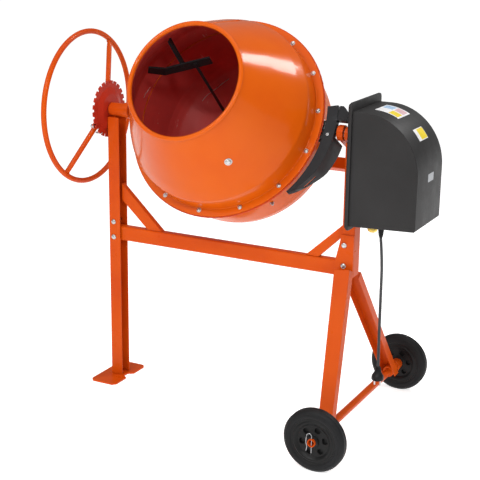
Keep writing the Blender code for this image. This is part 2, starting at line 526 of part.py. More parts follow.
# ---------------------------------------------------------------- drive box
plate = [(y, z) for y, z in rrect(0.1160, 0.1900, 0.010, 3, 0.0, 0.8745)]
bp_ = make("motor_back_plate", prism(plate, X_PLATE, X_PLATE + 0.0045, "x"), "black")
boolean(bp_, [make("cut", rod(0.0195, 0.43, 0.47, 24, "x"), "grey", (0, 0, HP))])

def cover_profile(d, xb):
    """side outline (x, z) of the cover, inset by d"""
    pts = [(xb, 0.6930 + d), (X_COVER - 0.003 - d, 0.7020 + d), (X_COVER - d, 0.7060 + d)]
    for i in range(13):
        a = radians(90 * i / 12)
        pts.append((0.500 + (X_COVER - 0.500 - d) * cos(a), 0.8640 + (0.1790 - d) * sin(a)))
    return pts + [(xb, 1.0430 - d)]
X0 = X_PLATE + 0.0045 + GAP
cov = make("motor_cover", prism(cover_profile(0, X0 + 0.002), -0.1130, 0.1130, "y"), "black")
fl = make("cut", prism(rrect(0.1205, 0.1945, 0.010, 3, 0.0, 0.8745), X0, X0 + 0.0085, "x"), "black")
boolean(cov, [fl], "UNION")
boolean(cov, [make("cut", prism(cover_profile(0.003, X0 - 0.01), -0.1100, 0.1100, "y"), "black")])
ZBOT = lambda x: 0.6930 + 0.0090 * (x - X0 - 0.002) / (X_COVER - 0.003 - X0 - 0.002)
boolean(cov, [make("cut", moved(rod(0.0060, 0.66, 0.74, 12, "z"), (X_CORD, Y_CORD, 0)), "grey"),
              make("cut", moved(rod(0.0046, 0.66, 0.74, 12, "z"), (0.510, -0.030, 0)), "grey")])

brk = [(X0, 0.7220), (0.5085, 0.7220), (0.5085, 0.8500), (0.5045, 0.8500), (0.5045, 0.7260), (X0, 0.7260)]
mb = make("motor_bracket", prism(brk, -0.055, 0.055, "y"), "zinc")
boolean(mb, [make("cut", rod(0.0180, 0.48, 0.53, 20, "x"), "grey", (0, 0, Z_MOTOR))])
mot = [(0.0090, 0.5088), (0.0150, 0.5088), (0.0500, 0.5088), (0.0560, 0.5140), (0.0560, 0.5260), (0.0580, 0.5270), (0.0580, 0.6100), (0.0560, 0.6110), (0.0560, 0.6280), (0.0480, 0.6400), (0.0090, 0.6400)]
make("motor_body", lathe(mot, 24, "x"), "alu", (0, 0, Z_MOTOR))
mr = [(0, 0.4790), (0.0070, 0.4790), (0.0070, X_BELT0), (R_MPULLEY, X_BELT0), (R_MPULLEY, X_BELT1), (0.0070, X_BELT1), (0.0070, 0.6450), (0, 0.6450)]
make("motor_rotor", lathe(mr, 20, "x"), "steel", (0, 0, Z_MOTOR))
def belt_loop(rb, rs):
    d = HP - Z_MOTOR
    a = math.asin((rb - rs) / d)
    pts = []
    nb = 28
    for i in range(nb + 1):
        t = -a + (pi + 2 * a) * i / nb
        pts.append((rb * cos(t), HP + rb * sin(t)))
    for i in range(nb // 2 + 1):
        t = pi + a + (pi - 2 * a) * i / (nb // 2)
        pts.append((rs * cos(t), Z_MOTOR + rs * sin(t)))
    return pts
make("drive_belt", ringprism(belt_loop(R_PULLEY + 0.0033, R_MPULLEY + 0.0033), belt_loop(R_PULLEY + GAP, R_MPULLEY + GAP), X_BELT0 + 0.001, X_BELT1 - 0.001, "x"), "rubber")
make("capacitor", rod(0.0175, 0.5200, 0.5950, 18, "x", 0.002), "grey", (0, 0.0850, 0.7600))

zg = ZBOT(X_CORD)
gl = [(0.0053, zg - 0.0010), (0.0125, zg - 0.0010), (0.0125, zg - 0.006), (0.0100, zg - 0.007), (0.0085, zg - 0.0150), (0.0053, zg - 0.0150)]
make("cable_gland", lathe(gl, 20), "black", (X_CORD, Y_CORD, 0))
za = ZBOT(0.510)
make("belt_adjuster", lathe([(0, 0.6630), (0.0090, 0.6630), (0.0140, 0.6665), (0.0160, 0.6720), (0.0150, 0.6790), (0.0040, 0.6800), (0.0040, 0.7215), (0, 0.7215)], 16), "brass", (0.510, -0.030, 0))

# switch on the back face of the cover
YS = 0.1130
make("switch_housing", ringprism(rrect(0.034, 0.048, 0.006, 3, 0.585, 0.860), rrect(0.028, 0.042, 0.003, 3, 0.585, 0.860), YS + GAP, YS + 0.0100, "y"), "black")
make("start_button", prism(rrect(0.024, 0.0165, 0.003, 3, 0.585, 0.8810), YS + 0.0048, YS + 0.0135, "y"), "green")
make("stop_button", prism(rrect(0.024, 0.0165, 0.003, 3, 0.585, 0.8390), YS + 0.0048, YS + 0.0150, "y"), "red")

# ---------------------------------------------------------------- cord and plug
cu = bpy.data.curves.new("power_cord", "CURVE")
cu.dimensions = "3D"
cu.bevel_depth = 0.0045
cu.bevel_resolution = 2
cu.use_fill_caps = True
knots = [(X_CORD, Y_CORD, Z_CORD), (X_CORD, Y_CORD, 0.6600), (0.5530, Y_CORD, 0.6200), (0.5568, Y_CORD, 0.5600), (0.5575, Y_CORD, 0.4800), (0.5580, Y_CORD, 0.4000), (0.5588, Y_CORD, 0.3200), (0.5600, Y_CORD, 0.2420)]
pts = []
for i in range(len(knots) - 1):
    p0, p1 = Vector(knots[max(i - 1, 0)]), Vector(knots[i])
    p2, p3 = Vector(knots[i + 1]), Vector(knots[min(i + 2, len(knots) - 1)])
    ns = 4
    for j in range(ns):
        u = j / ns
        pts.append(0.5 * ((2 * p1) + (p2 - p0) * u + (2 * p0 - 5 * p1 + 4 * p2 - p3) * u * u + (3 * p1 - p0 - 3 * p2 + p3) * u ** 3))
pts.append(Vector(knots[-1]))
spl = cu.splines.new("POLY")
spl.points.add(len(pts) - 1)
for p, q in zip(spl.points, pts):
    p.co = (*q, 1)
cord = bpy.data.objects.new("power_cord", cu)
bpy.context.scene.collection.objects.link(cord)
cord.data.materials.append(mat("power_cord", *LOOK["rubber"]))

zpl = 0.2417
pl = [(0, 0.1980), (0.0185, 0.1980), (0.0195, 0.2000), (0.0195, 0.2110), (0.0150, 0.2180), (0.0100, 0.2260), (0.0075, 0.2310), (0.0072, zpl), (0, zpl)]
plug = make("plug", lathe(pl, 20), "rubber", (0.560, Y_CORD, 0))
pins = [make("cut", moved(rod(0.0024, 0.1790, 0.2010, 10, "z", 0.0006), (0.560 + s * 0.0095, Y_CORD, 0)), "steel") for s in (-1, 1)]
boolean(plug, pins, "UNION")

# ---------------------------------------------------------------- frame: origin under the middle of the box the mixer fills
SHIFT = Vector((-0.0574, 0.0027, 0))
for o in bpy.data.objects:
    o.location = o.location + SHIFT
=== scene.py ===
"""Looks of the concrete mixer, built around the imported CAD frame. Metres, +Z up."""
import bpy, bmesh, math
from math import sin, cos, pi, radians, sqrt
from mathutils import Vector, Matrix, noise

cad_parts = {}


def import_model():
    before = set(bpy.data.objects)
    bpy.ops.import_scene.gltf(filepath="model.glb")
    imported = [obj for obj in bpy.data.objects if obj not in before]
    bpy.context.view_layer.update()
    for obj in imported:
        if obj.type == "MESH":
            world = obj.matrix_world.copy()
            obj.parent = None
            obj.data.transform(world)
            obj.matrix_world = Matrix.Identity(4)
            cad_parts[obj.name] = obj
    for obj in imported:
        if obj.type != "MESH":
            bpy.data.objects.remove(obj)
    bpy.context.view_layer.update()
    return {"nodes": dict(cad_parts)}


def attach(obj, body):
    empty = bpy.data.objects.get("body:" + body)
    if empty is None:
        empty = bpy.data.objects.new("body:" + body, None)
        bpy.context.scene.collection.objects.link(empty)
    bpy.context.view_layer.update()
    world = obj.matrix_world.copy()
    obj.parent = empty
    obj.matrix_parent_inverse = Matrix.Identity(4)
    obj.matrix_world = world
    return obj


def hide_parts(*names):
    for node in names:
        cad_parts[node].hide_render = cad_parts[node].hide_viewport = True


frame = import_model()
NODES = frame["nodes"]
scene = bpy.context.scene
scene.view_settings.view_transform = "Standard"

# ------------------------------------------------------------ shared dimensions (same as the solids)
HP, TILT, GAP = 0.952, 29.5, 0.0003
PHI = radians(90 - TILT)
SH = Matrix.Translation((-0.0574, 0.0027, 0))
DR = SH @ Matrix.Translation((0, 0, HP)) @ Matrix.Rotation(PHI, 4, "X")
TP = SH @ Matrix.Translation((0, 0, HP))
X_AXLE, Z_AXLE, R_AXLE = 0.4827, 0.0990, 0.0125
Y_WHEEL, W_WHEEL = 0.3585, 0.040
X_CORD, Y_CORD = 0.549, -0.060
X0 = 0.4505 + 0.0045 + GAP
X_COVER = 0.673

# ------------------------------------------------------------ camera
cam = bpy.data.objects.new("camera", bpy.data.cameras.new("camera"))
scene.collection.objects.link(cam)
cam.data.sensor_width = 36
cam.data.lens = 89.781
r_, u_, f_ = Vector((0.8867278, 0.46211573, 0.01276145)), Vector((-0.13786381, 0.23798883, 0.96143377)), Vector((-0.44125658, 0.8542894, -0.27474035))
C_ = Vector((1.7136985, -3.35156777, 1.64143153))
cam.matrix_world = Matrix(((r_.x, u_.x, -f_.x, C_.x), (r_.y, u_.y, -f_.y, C_.y), (r_.z, u_.z, -f_.z, C_.z), (0, 0, 0, 1)))
cam.data.clip_end = 200
scene.camera = cam

# ------------------------------------------------------------ materials
def nmat(name):
    m = bpy.data.materials.new(name)
    m.use_nodes = True
    nt = m.node_tree
    b = nt.nodes["Principled BSDF"]
    tc = nt.nodes.new("ShaderNodeTexCoord")
    return m, nt, b, tc

def tex(nt, tc, kind, scale, detail=2.0, stretch=None, rough=0.5, rot=None):
    n = nt.nodes.new("ShaderNodeTex" + kind)
    n.inputs["Scale"].default_value = scale
    if kind == "Noise":
        n.inputs["Detail"].default_value = detail
        n.inputs["Roughness"].default_value = rough
    src = tc.outputs["Object"]
    if stretch or rot:
        mp = nt.nodes.new("ShaderNodeMapping")
        if stretch:
            mp.inputs["Scale"].default_value = stretch
        if rot:
            mp.inputs["Rotation"].default_value = rot
        nt.links.new(src, mp.inputs["Vector"])
        src = mp.outputs["Vector"]
    nt.links.new(src, n.inputs["Vector"])
    return n

def ramp(nt, src, stops):
    r = nt.nodes.new("ShaderNodeValToRGB")
    el = r.color_ramp.elements
    el[0].position, el[0].color = stops[0][0], (*stops[0][1], 1)
    el[1].position, el[1].color = stops[-1][0], (*stops[-1][1], 1)
    for p, c in stops[1:-1]:
        e = el.new(p)
        e.color = (*c, 1)
    nt.links.new(src, r.inputs["Fac"])
    return r

def mix(nt, fac, a, b):
    m = nt.nodes.new("ShaderNodeMix")
    m.data_type = "RGBA"
    if isinstance(fac, float):
        m.inputs[0].default_value = fac
    else:
        nt.links.new(fac, m.inputs[0])
    for s, v in ((6, a), (7, b)):
        if isinstance(v, tuple):
            m.inputs[s].default_value = (*v, 1)
        else:
            nt.links.new(v, m.inputs[s])
    return m.outputs[2]

def mrange(nt, src, a0, a1, b0, b1):
    m = nt.nodes.new("ShaderNodeMapRange")
    for k, v in zip(("From Min", "From Max", "To Min", "To Max"), (a0, a1, b0, b1)):
        m.inputs[k].default_value = v
    nt.links.new(src, m.inputs["Value"])
    return m.outputs["Result"]

def bump(nt, b, src, strength, dist, prev=None):
    n = nt.nodes.new("ShaderNodeBump")
    n.inputs["Strength"].default_value = strength
    n.inputs["Distance"].default_value = dist
    nt.links.new(src, n.inputs["Height"])
    if prev is not None:
        nt.links.new(prev, n.inputs["Normal"])
    nt.links.new(n.outputs["Normal"], b.inputs["Normal"])
    return n.outputs["Normal"]

def paint(name, c0, c1, rough=(0.26, 0.36), coat=0.06, peel=0.05, dust=0.0):
    m, nt, b, tc = nmat(name)
    n1 = tex(nt, tc, "Noise", 4.5, 4)
    r = ramp(nt, n1.outputs["Fac"], [(0.36, c1), (0.64, c0)])
    col = r.outputs["Color"]
    # fine speckle of the powder coat and a few tiny dark specks
    n2 = tex(nt, tc, "Noise", 520, 2)
    col = mix(nt, mrange(nt, n2.outputs["Fac"], 0.35, 0.65, 0.0, 0.05), col, tuple(x * 0.8 for x in c0))
    if dust:
        n4 = tex(nt, tc, "Noise", 11, 6, rough=0.7)
        col = mix(nt, mrange(nt, n4.outputs["Fac"], 0.50, 0.75, 0.0, dust), col, (0.45, 0.33, 0.24))
    nt.links.new(col, b.inputs["Base Color"])
    n3 = tex(nt, tc, "Noise", 16, 5, rough=0.6)
    nt.links.new(mrange(nt, n3.outputs["Fac"], 0.3, 0.7, rough[0], rough[1]), b.inputs["Roughness"])
    b.inputs["Coat Weight"].default_value = coat
    b.inputs["Coat Roughness"].default_value = 0.06
    b.inputs["Specular IOR Level"].default_value = 0.07
    n5 = tex(nt, tc, "Noise", 240, 2)
    bump(nt, b, n5.outputs["Fac"], peel, 0.0006)
    return m

ORANGE = (0.550, 0.072, 0.003)
ORANGE_D = (0.500, 0.054, 0.003)
M = {}
M["paint"] = paint("orange_paint", ORANGE, ORANGE_D)
M["drumpaint"] = paint("orange_drum_paint", (0.580, 0.094, 0.003), (0.550, 0.078, 0.003), rough=(0.16, 0.24), coat=0.14, peel=0.02)
# ring gear: the drum orange, darkened towards red as painted shade for the gap under the flange
M["gear_shade_paint"] = paint("ring_gear_paint_and_shade", (0.50, 0.050, 0.010), (0.40, 0.036, 0.009), rough=(0.35, 0.5), coat=0.05)
# painted shade: the lock disc's orange paint darkened to red, standing in for the shade on the disc
M["disc_shade_paint"] = paint("orange_paint_painted_shade", (0.46, 0.034, 0.012), (0.36, 0.024, 0.011))
M["blackpaint"] = paint("black_paint", (0.022, 0.023, 0.025), (0.015, 0.015, 0.016), rough=(0.30, 0.42), coat=0.05, peel=0.10, dust=0.01)

def inner_paint_and_shade():
    """drum inside: the drum paint given a deep red tint as painted shade for the cavity, with long rub marks from the
    mix, along the drum and across it
    """
    m, nt, b, tc = nmat("drum_inside_paint_and_painted_shade")
    n1 = tex(nt, tc, "Noise", 5.0, 5)
    # painted shade: the base ramp is a deeper, redder tint than the outside drum paint, standing in for the shade
    # inside the drum
    col = ramp(nt, n1.outputs["Fac"], [(0.34, (0.56, 0.064, 0.056)), (0.66, (0.72, 0.078, 0.064))]).outputs["Color"]
    w = tex(nt, tc, "Noise", 9.0, 8, stretch=(9.0, 1.1, 0.8), rough=0.75, rot=(0.5, 0.2, 0.3))
    col = mix(nt, mrange(nt, w.outputs["Fac"], 0.635, 0.67, 0.0, 0.75), col, (0.72, 0.52, 0.46))
    w2 = tex(nt, tc, "Noise", 7.0, 8, stretch=(1.0, 8.0, 1.4), rough=0.75, rot=(0.2, 0.7, -0.4))
    col = mix(nt, mrange(nt, w2.outputs["Fac"], 0.67, 0.71, 0.0, 0.5), col, (0.60, 0.36, 0.30))
    d = tex(nt, tc, "Noise", 3.0, 5, rough=0.65)
    col = mix(nt, mrange(nt, d.outputs["Fac"], 0.45, 0.70, 0.0, 0.45), col, (0.30, 0.040, 0.036))
    nt.links.new(col, b.inputs["Base Color"])
    nt.links.new(mrange(nt, w.outputs["Fac"], 0.4, 0.7, 0.34, 0.52), b.inputs["Roughness"])
    b.inputs["Specular IOR Level"].default_value = 0.10
    n5 = tex(nt, tc, "Noise", 200, 3)
    bump(nt, b, n5.outputs["Fac"], 0.12, 0.0006)
    return m
M["inside"] = inner_paint_and_shade()

def metal(name, c0, c1, rough=(0.22, 0.38), scale=60, bmp=0.08, dist=0.0003, stretch=None, metallic=1.0, bscale=350):
    m, nt, b, tc = nmat(name)
    n1 = tex(nt, tc, "Noise", scale, 4, stretch=stretch)
    nt.links.new(ramp(nt, n1.outputs["Fac"], [(0.35, c1), (0.65, c0)]).outputs["Color"], b.inputs["Base Color"])
    b.inputs["Metallic"].default_value = metallic
    n2 = tex(nt, tc, "Noise", scale * 2.2, 3, stretch=stretch)
    nt.links.new(mrange(nt, n2.outputs["Fac"], 0.3, 0.7, rough[0], rough[1]), b.inputs["Roughness"])
    n3 = tex(nt, tc, "Noise", bscale, 3, stretch=stretch)
    bump(nt, b, n3.outputs["Fac"], bmp, dist)
    return m

M["zinc"] = metal("zinc_plate", (0.56, 0.56, 0.56), (0.42, 0.43, 0.43))
M["mark"] = metal("rub_mark", (0.62, 0.52, 0.48), (0.50, 0.38, 0.35), rough=(0.4, 0.5), metallic=0.0)
M["steel"] = metal("turned_steel", (0.46, 0.46, 0.47), (0.34, 0.34, 0.35), scale=90, stretch=(30, 1, 1))
M["iron"] = metal("cast_iron_greased", (0.085, 0.080, 0.078), (0.045, 0.042, 0.042), rough=(0.38, 0.60), scale=40, bmp=0.35, dist=0.0008, metallic=0.75, bscale=220)
M["alu"] = metal("cast_aluminium", (0.62, 0.62, 0.63), (0.52, 0.52, 0.53), rough=(0.42, 0.58), scale=45, bmp=0.3, dist=0.0006, bscale=260)
M["brass"] = metal("brass", (0.78, 0.56, 0.14), (0.62, 0.42, 0.09), rough=(0.25, 0.42), scale=70)
M["spring"] = metal("spring_wire", (0.55, 0.55, 0.56), (0.40, 0.40, 0.41), scale=200)

def plastic(name, c0, c1, rough=(0.40, 0.50), grain=0.25, gscale=620, dist=0.0004, coat=0.0, spec=0.14):
    m, nt, b, tc = nmat(name)
    n1 = tex(nt, tc, "Noise", 5, 4)
    col = ramp(nt, n1.outputs["Fac"], [(0.35, c1), (0.65, c0)]).outputs["Color"]
    v = tex(nt, tc, "Voronoi", gscale)
    col = mix(nt, mrange(nt, v.outputs["Distance"], 0.0, 0.6, 0.16, 0.0), col, tuple(min(1, x * 1.8) for x in c0))
    nt.links.new(col, b.inputs["Base Color"])
    n2 = tex(nt, tc, "Noise", 22, 4, rough=0.6)
    nt.links.new(mrange(nt, n2.outputs["Fac"], 0.3, 0.7, rough[0], rough[1]), b.inputs["Roughness"])
    b.inputs["Coat Weight"].default_value = coat
    b.inputs["Specular IOR Level"].default_value = spec
    n3 = tex(nt, tc, "Noise", gscale, 2)
    bump(nt, b, n3.outputs["Fac"], grain, dist)
    return m

M["cover"] = plastic("moulded_cover", (0.025, 0.024, 0.024), (0.020, 0.019, 0.019))
M["black"] = plastic("black_plastic", (0.014, 0.014, 0.015), (0.010, 0.010, 0.010), rough=(0.34, 0.46))
M["hub"] = plastic("wheel_plastic", (0.010, 0.010, 0.010), (0.007, 0.007, 0.007), rough=(0.28, 0.40), grain=0.12)
M["rubber"] = plastic("tyre_rubber", (0.011, 0.011, 0.012), (0.008, 0.008, 0.008), rough=(0.42, 0.58), grain=0.35, gscale=420, dist=0.0006)
M["cord"] = plastic("cord_rubber", (0.052, 0.053, 0.055), (0.038, 0.039, 0.041), rough=(0.42, 0.55), grain=0.15)
M["belt"] = plastic("belt_rubber", (0.020, 0.020, 0.020), (0.014, 0.014, 0.014), rough=(0.6, 0.75), grain=0.4)
M["green"] = plastic("green_button", (0.02, 0.34, 0.07), (0.015, 0.28, 0.055), rough=(0.25, 0.35), grain=0.08)
M["red"] = plastic("red_button", (0.60, 0.018, 0.015), (0.50, 0.014, 0.012), rough=(0.25, 0.35), grain=0.08)
M["grey"] = plastic("grey_plastic", (0.30, 0.30, 0.31), (0.25, 0.25, 0.26), grain=0.12)
M["yellowknob"] = plastic("yellow_plastic", (0.62, 0.40, 0.03), (0.48, 0.30, 0.02), rough=(0.28, 0.4), grain=0.1)

def label(name, c):
    m, nt, b, tc = nmat(name)
    n1 = tex(nt, tc, "Noise", 60, 4)
    nt.links.new(ramp(nt, n1.outputs["Fac"], [(0.3, tuple(x * 0.86 for x in c)), (0.7, c)]).outputs["Color"], b.inputs["Base Color"])
    n2 = tex(nt, tc, "Noise", 30, 3)
    nt.links.new(mrange(nt, n2.outputs["Fac"], 0.3, 0.7, 0.25, 0.4), b.inputs["Roughness"])
    n3 = tex(nt, tc, "Noise", 90, 2)
    bump(nt, b, n3.outputs["Fac"], 0.08, 0.0003)
    return m
M["l_white"] = label("label_white", (0.80, 0.79, 0.80))
M["l_blue"] = label("label_blue", (0.36, 0.52, 0.72))
M["l_yellow"] = label("label_yellow", (0.80, 0.60, 0.01))
M["l_pink"] = label("label_pink", (0.66, 0.42, 0.44))
M["l_silver"] = metal("plate_silver", (0.42, 0.43, 0.45), (0.30, 0.31, 0.33), rough=(0.3, 0.45), stretch=(1, 40, 1))

# ------------------------------------------------------------ mesh helpers
def obj(name, V, F, mat, body, slot=None, mtx=SH, angle=35, fm=None, bevel=None, seg=2, sub=0, weld=1e-6):
    me = bpy.data.meshes.new(name)
    bm = bmesh.new()
    vs = [bm.verts.new(mtx @ Vector(v)) for v in V]
    for i, f in enumerate(F):
        try:
            nf = bm.faces.new([vs[k] for k in f])
            if fm:
                nf.material_index = fm[i]
        except ValueError:
            pass
    if weld:
        bmesh.ops.remove_doubles(bm, verts=bm.verts, dist=weld)
    bmesh.ops.recalc_face_normals(bm, faces=bm.faces)
    bm.to_mesh(me)
    bm.free()
    o = bpy.data.objects.new(name, me)
    scene.collection.objects.link(o)
    for m in (mat if isinstance(mat, (list, tuple)) else [mat]):
        me.materials.append(M[m])
    shade(o, angle)
    if bevel:
        add_bevel(o, bevel, seg)
    if sub:
        s = o.modifiers.new("s", "SUBSURF")
        s.levels = s.render_levels = sub
    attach(o, body)
    return o

def shade(o, angle=35):
    o.data.polygons.foreach_set("use_smooth", [True] * len(o.data.polygons))
    o.data.set_sharp_from_angle(angle=radians(angle))

def add_bevel(o, w, seg=2, angle=35):
    b = o.modifiers.new("bevel", "BEVEL")
    b.width = w
    b.segments = seg
    b.limit_method = "ANGLE"
    b.angle_limit = radians(angle)
    b.harden_normals = True
    b.use_clamp_overlap = True
    return b

def bake(o):
    """apply all modifiers"""
    bpy.context.view_layer.update()
    dg = bpy.context.evaluated_depsgraph_get()
    me = bpy.data.meshes.new_from_object(o.evaluated_get(dg))
    o.modifiers.clear()
    old = o.data
    o.data = me
    bpy.data.meshes.remove(old)

def raw(name, V, F, mtx=SH):
    me = bpy.data.meshes.new(name)
    bm = bmesh.new()
    vs = [bm.verts.new(mtx @ Vector(v)) for v in V]
    for f in F:
        try:
            bm.faces.new([vs[k] for k in f])
        except ValueError:
            pass
    bmesh.ops.remove_doubles(bm, verts=bm.verts, dist=1e-6)
    bmesh.ops.recalc_face_normals(bm, faces=bm.faces)
    bm.to_mesh(me)
    bm.free()
    o = bpy.data.objects.new(name, me)
    scene.collection.objects.link(o)
    return o

def cut(o, cutters, op="DIFFERENCE"):
    for c in cutters:
        m = o.modifiers.new("b", "BOOLEAN")
        m.operation = op
        m.solver = "EXACT"
        m.object = c
    bake(o)
    for c in cutters:
        bpy.data.objects.remove(c, do_unlink=True)

def cat(*gs):
    V, F = [], []
    for v, f in gs:
        n = len(V)
        V += list(v)
        F += [tuple(i + n for i in q) for q in f]
    return V, F

def prism(poly, a0, a1, axis="y"):
    def p(u, w, a):
        return {"x": (a, u, w), "y": (u, a, w), "z": (u, w, a)}[axis]
    n = len(poly)
    v = [p(u, w, a0) for u, w in poly] + [p(u, w, a1) for u, w in poly]
    f = [(i, (i + 1) % n, n + (i + 1) % n, n + i) for i in range(n)]
    return v, f + [tuple(range(n)), tuple(range(2 * n - 1, n - 1, -1))]

def ringprism(outer, inner, a0, a1, axis="y"):
    def p(u, w, a):
        return {"x": (a, u, w), "y": (u, a, w), "z": (u, w, a)}[axis]
    n = len(outer)
    v = []
    for a in (a0, a1):
        v += [p(u, w, a) for u, w in outer] + [p(u, w, a) for u, w in inner]
    f = []
    for i in range(n):
        j = (i + 1) % n
        f += [(i, j, 2 * n + j, 2 * n + i), (n + i, n + j, 3 * n + j, 3 * n + i), (i, j, n + j, n + i), (2 * n + i, 2 * n + j, 3 * n + j, 3 * n + i)]
    return v, f

def lathe(prof, n, axis="z"):
    def p(r, h, t):
        c, s = r * cos(t), r * sin(t)
        return {"z": (c, s, h), "x": (h, c, s), "y": (s, h, c)}[axis]
    m = len(prof)
    v, f = [], []
    for k in range(n):
        t = 2 * pi * k / n
        v += [p(r, h, t) for r, h in prof]
    for k in range(n):
        l = (k + 1) % n
        for i in range(m):
            j = (i + 1) % m
            q = [k * m + i, k * m + j, l * m + j, l * m + i]
            if prof[i][0] == 0 and prof[j][0] == 0:
                continue
            if prof[i][0] == 0:
                q = [k * m + i, k * m + j, l * m + j]
            elif prof[j][0] == 0:
                q = [k * m + i, k * m + j, l * m + i]
            f.append(tuple(q))
    return v, f

def moved(geo, d=(0, 0, 0), m=None):
    v, f = geo
    if m is not None:
        v = [tuple(m @ Vector(q)) for q in v]
    return [(q[0] + d[0], q[1] + d[1], q[2] + d[2]) for q in v], f

def aim(p, d, spin=0.0):
    """matrix that puts local +Z along d at p"""
    d = Vector(d).normalized()
    return Matrix.Translation(Vector(p)) @ d.to_track_quat("Z", "Y").to_matrix().to_4x4() @ Matrix.Rotation(spin, 4, "Z")

def circ(r, n, a0=0.0, k=1.0):
    return [(r * cos(a0 + 2 * pi * i / n), k * r * sin(a0 + 2 * pi * i / n)) for i in range(n)]

def rrect(hx, hy, r, n=6, cx=0.0, cy=0.0):
    pts = []
    for sx, sy, a in ((1, 1, 0), (-1, 1, 90), (-1, -1, 180), (1, -1, 270)):
        for i in range(n + 1):
            t = radians(a + 90 * i / n)
            pts.append((cx + sx * (hx - r) + r * cos(t), cy + sy * (hy - r) + r * sin(t)))
    return pts

def fillet(pts, closed=True, n=5):
    """points (u, w, radius) to a polyline with rounded corners"""
    out = []
    m = len(pts)
    for i in range(m):
        p = Vector(pts[i][:2])
        r = pts[i][2] if len(pts[i]) > 2 else 0
        if not r or (not closed and i in (0, m - 1)):
            out.append((p.x, p.y))
            continue
        a, b = Vector(pts[i - 1][:2]), Vector(pts[(i + 1) % m][:2])
        d1, d2 = (a - p).normalized(), (b - p).normalized()
        ang = math.acos(max(-1, min(1, d1.dot(d2))))
        t = min(r / math.tan(ang / 2), 0.48 * (a - p).length, 0.48 * (b - p).length)
        s, e = p + d1 * t, p + d2 * t
        for k in range(n + 1):
            u = k / n
            q = s * (1 - u) ** 2 + p * 2 * u * (1 - u) + e * u * u
            out.append((q.x, q.y))
    return out

def sweep(path, sec, ref, closed=False, caps=True):
    """sec is [(u, w)] or a function of (i, fraction) giving it"""
    P = [Vector(q) for q in path]
    n = len(P)
    v, f = [], []
    for i in range(n):
        a = P[(i - 1) % n] if (closed or i > 0) else P[i]
        b = P[(i + 1) % n] if (closed or i < n - 1) else P[i]
        t = (b - a).normalized()
        r = Vector(ref(i, P[i]) if callable(ref) else ref)
        w = (r - t * r.dot(t)).normalized()
        u = t.cross(w)
        s_ = sec(i, i / max(1, n - 1)) if callable(sec) else sec
        m = len(s_)
        v += [tuple(P[i] + u * su + w * sw) for su, sw in s_]
    for i in range(n if closed else n - 1):
        j = (i + 1) % n
        for s in range(m):
            e = (s + 1) % m
            f.append((i * m + s, i * m + e, j * m + e, j * m + s))
    if not closed and caps:
        f += [tuple(range(m)), tuple((n - 1) * m + s for s in range(m - 1, -1, -1))]
    return v, f

def crom(knots, ns, closed=False):
    K = [Vector(k) for k in knots]
    out = []
    n = len(K)
    for i in range(n if closed else n - 1):
        if closed:
            p0, p1, p2, p3 = K[(i - 1) % n], K[i], K[(i + 1) % n], K[(i + 2) % n]
        else:
            p0, p1, p2, p3 = K[max(i - 1, 0)], K[i], K[i + 1], K[min(i + 2, n - 1)]
        for j in range(ns):
            u = j / ns
            out.append(0.5 * ((2 * p1) + (p2 - p0) * u + (2 * p0 - 5 * p1 + 4 * p2 - p3) * u * u + (3 * p1 - p0 - 3 * p2 + p3) * u ** 3))
    if not closed:
        out.append(K[-1].copy())
    return out

def weld_geo(path, r=0.0022, seed=0.0, ref=(0.3, 0.2, 1.0), closed=False, pitch=0.0035):
    """rippled weld bead along a path"""
    K = [Vector(q) for q in path]
    if closed:
        K.append(K[0])
    pts, s = [], 0.0
    for i in range(len(K) - 1):
        d = (K[i + 1] - K[i]).length
        k = max(1, int(d / (pitch / 3)))
        for j in range(k):
            pts.append(K[i].lerp(K[i + 1], j / k))
    if not closed:
        pts.append(K[-1])
    n = len(pts)
    def sec(i, t):
        w = 1.0 + 0.16 * cos(2 * pi * i / 3) + 0.25 * noise.noise(Vector((pts[i].x * 120 + seed, pts[i].y * 120, pts[i].z * 120)))
        if not closed:
            w *= min(1.0, 0.35 + 4 * min(i, n - 1 - i) / max(1, n))
        return circ(r * w, 8)
    return sweep(pts, sec, ref, closed)

def hexagon(af, n=6):
    q = af / 2 / cos(radians(30))
    return [(q * cos(radians(60 * i)), q * sin(radians(60 * i))) for i in range(n)]

def dome_bolt(rh, hh, washer=True):
    """domed head along +Z from z = 0, with a thin washer under it"""
    w = 0.0012 if washer else 0.0
    pr = []
    if washer:
        pr += [(0, 0), (rh * 1.30, 0), (rh * 1.34, 0.0004), (rh * 1.34, 0.0009), (rh * 1.30, w), (rh * 1.02, w)]
    else:
        pr += [(0, 0), (rh * 1.02, 0)]
    pr += [(rh, w + 0.0006)]
    for i in range(1, 8):
        a = radians(90 * i / 8)
        pr.append((rh * cos(a) * 0.985, w + 0.0006 + hh * sin(a)))
    pr.append((0, w + 0.0006 + hh))
    return lathe(pr, 20)

def hexnut(af, h, hole=0.0, n=6):
    """nut along +Z with chamfered corners"""
    q = af / 2 / cos(radians(30))
    V, F = [], []
    rows = [(q * 0.93, 0.0), (q, h * 0.12), (q, h * 0.86), (q * 0.90, h)]
    for r, z in rows:
        for i in range(24):
            a = radians(15 * i)
            k = cos(radians(30)) / cos(radians((15 * i) % 60 - 30))
            rr = min(r, q * k) if r < q else q * k
            V.append((rr * cos(a), rr * sin(a), z))
    for j in range(3):
        for i in range(24):
            l = (i + 1) % 24
            F.append((j * 24 + i, j * 24 + l, (j + 1) * 24 + l, (j + 1) * 24 + i))
    F += [tuple(range(24)), tuple(range(95, 71, -1))]
    return V, F

def stud(r, h):
    return lathe([(0, 0), (r, 0), (r, h - r * 0.4), (r * 0.6, h), (0, h)], 14)

def place(geo, p, d, spin=0.0):
    return moved(geo, m=aim(p, d, spin))

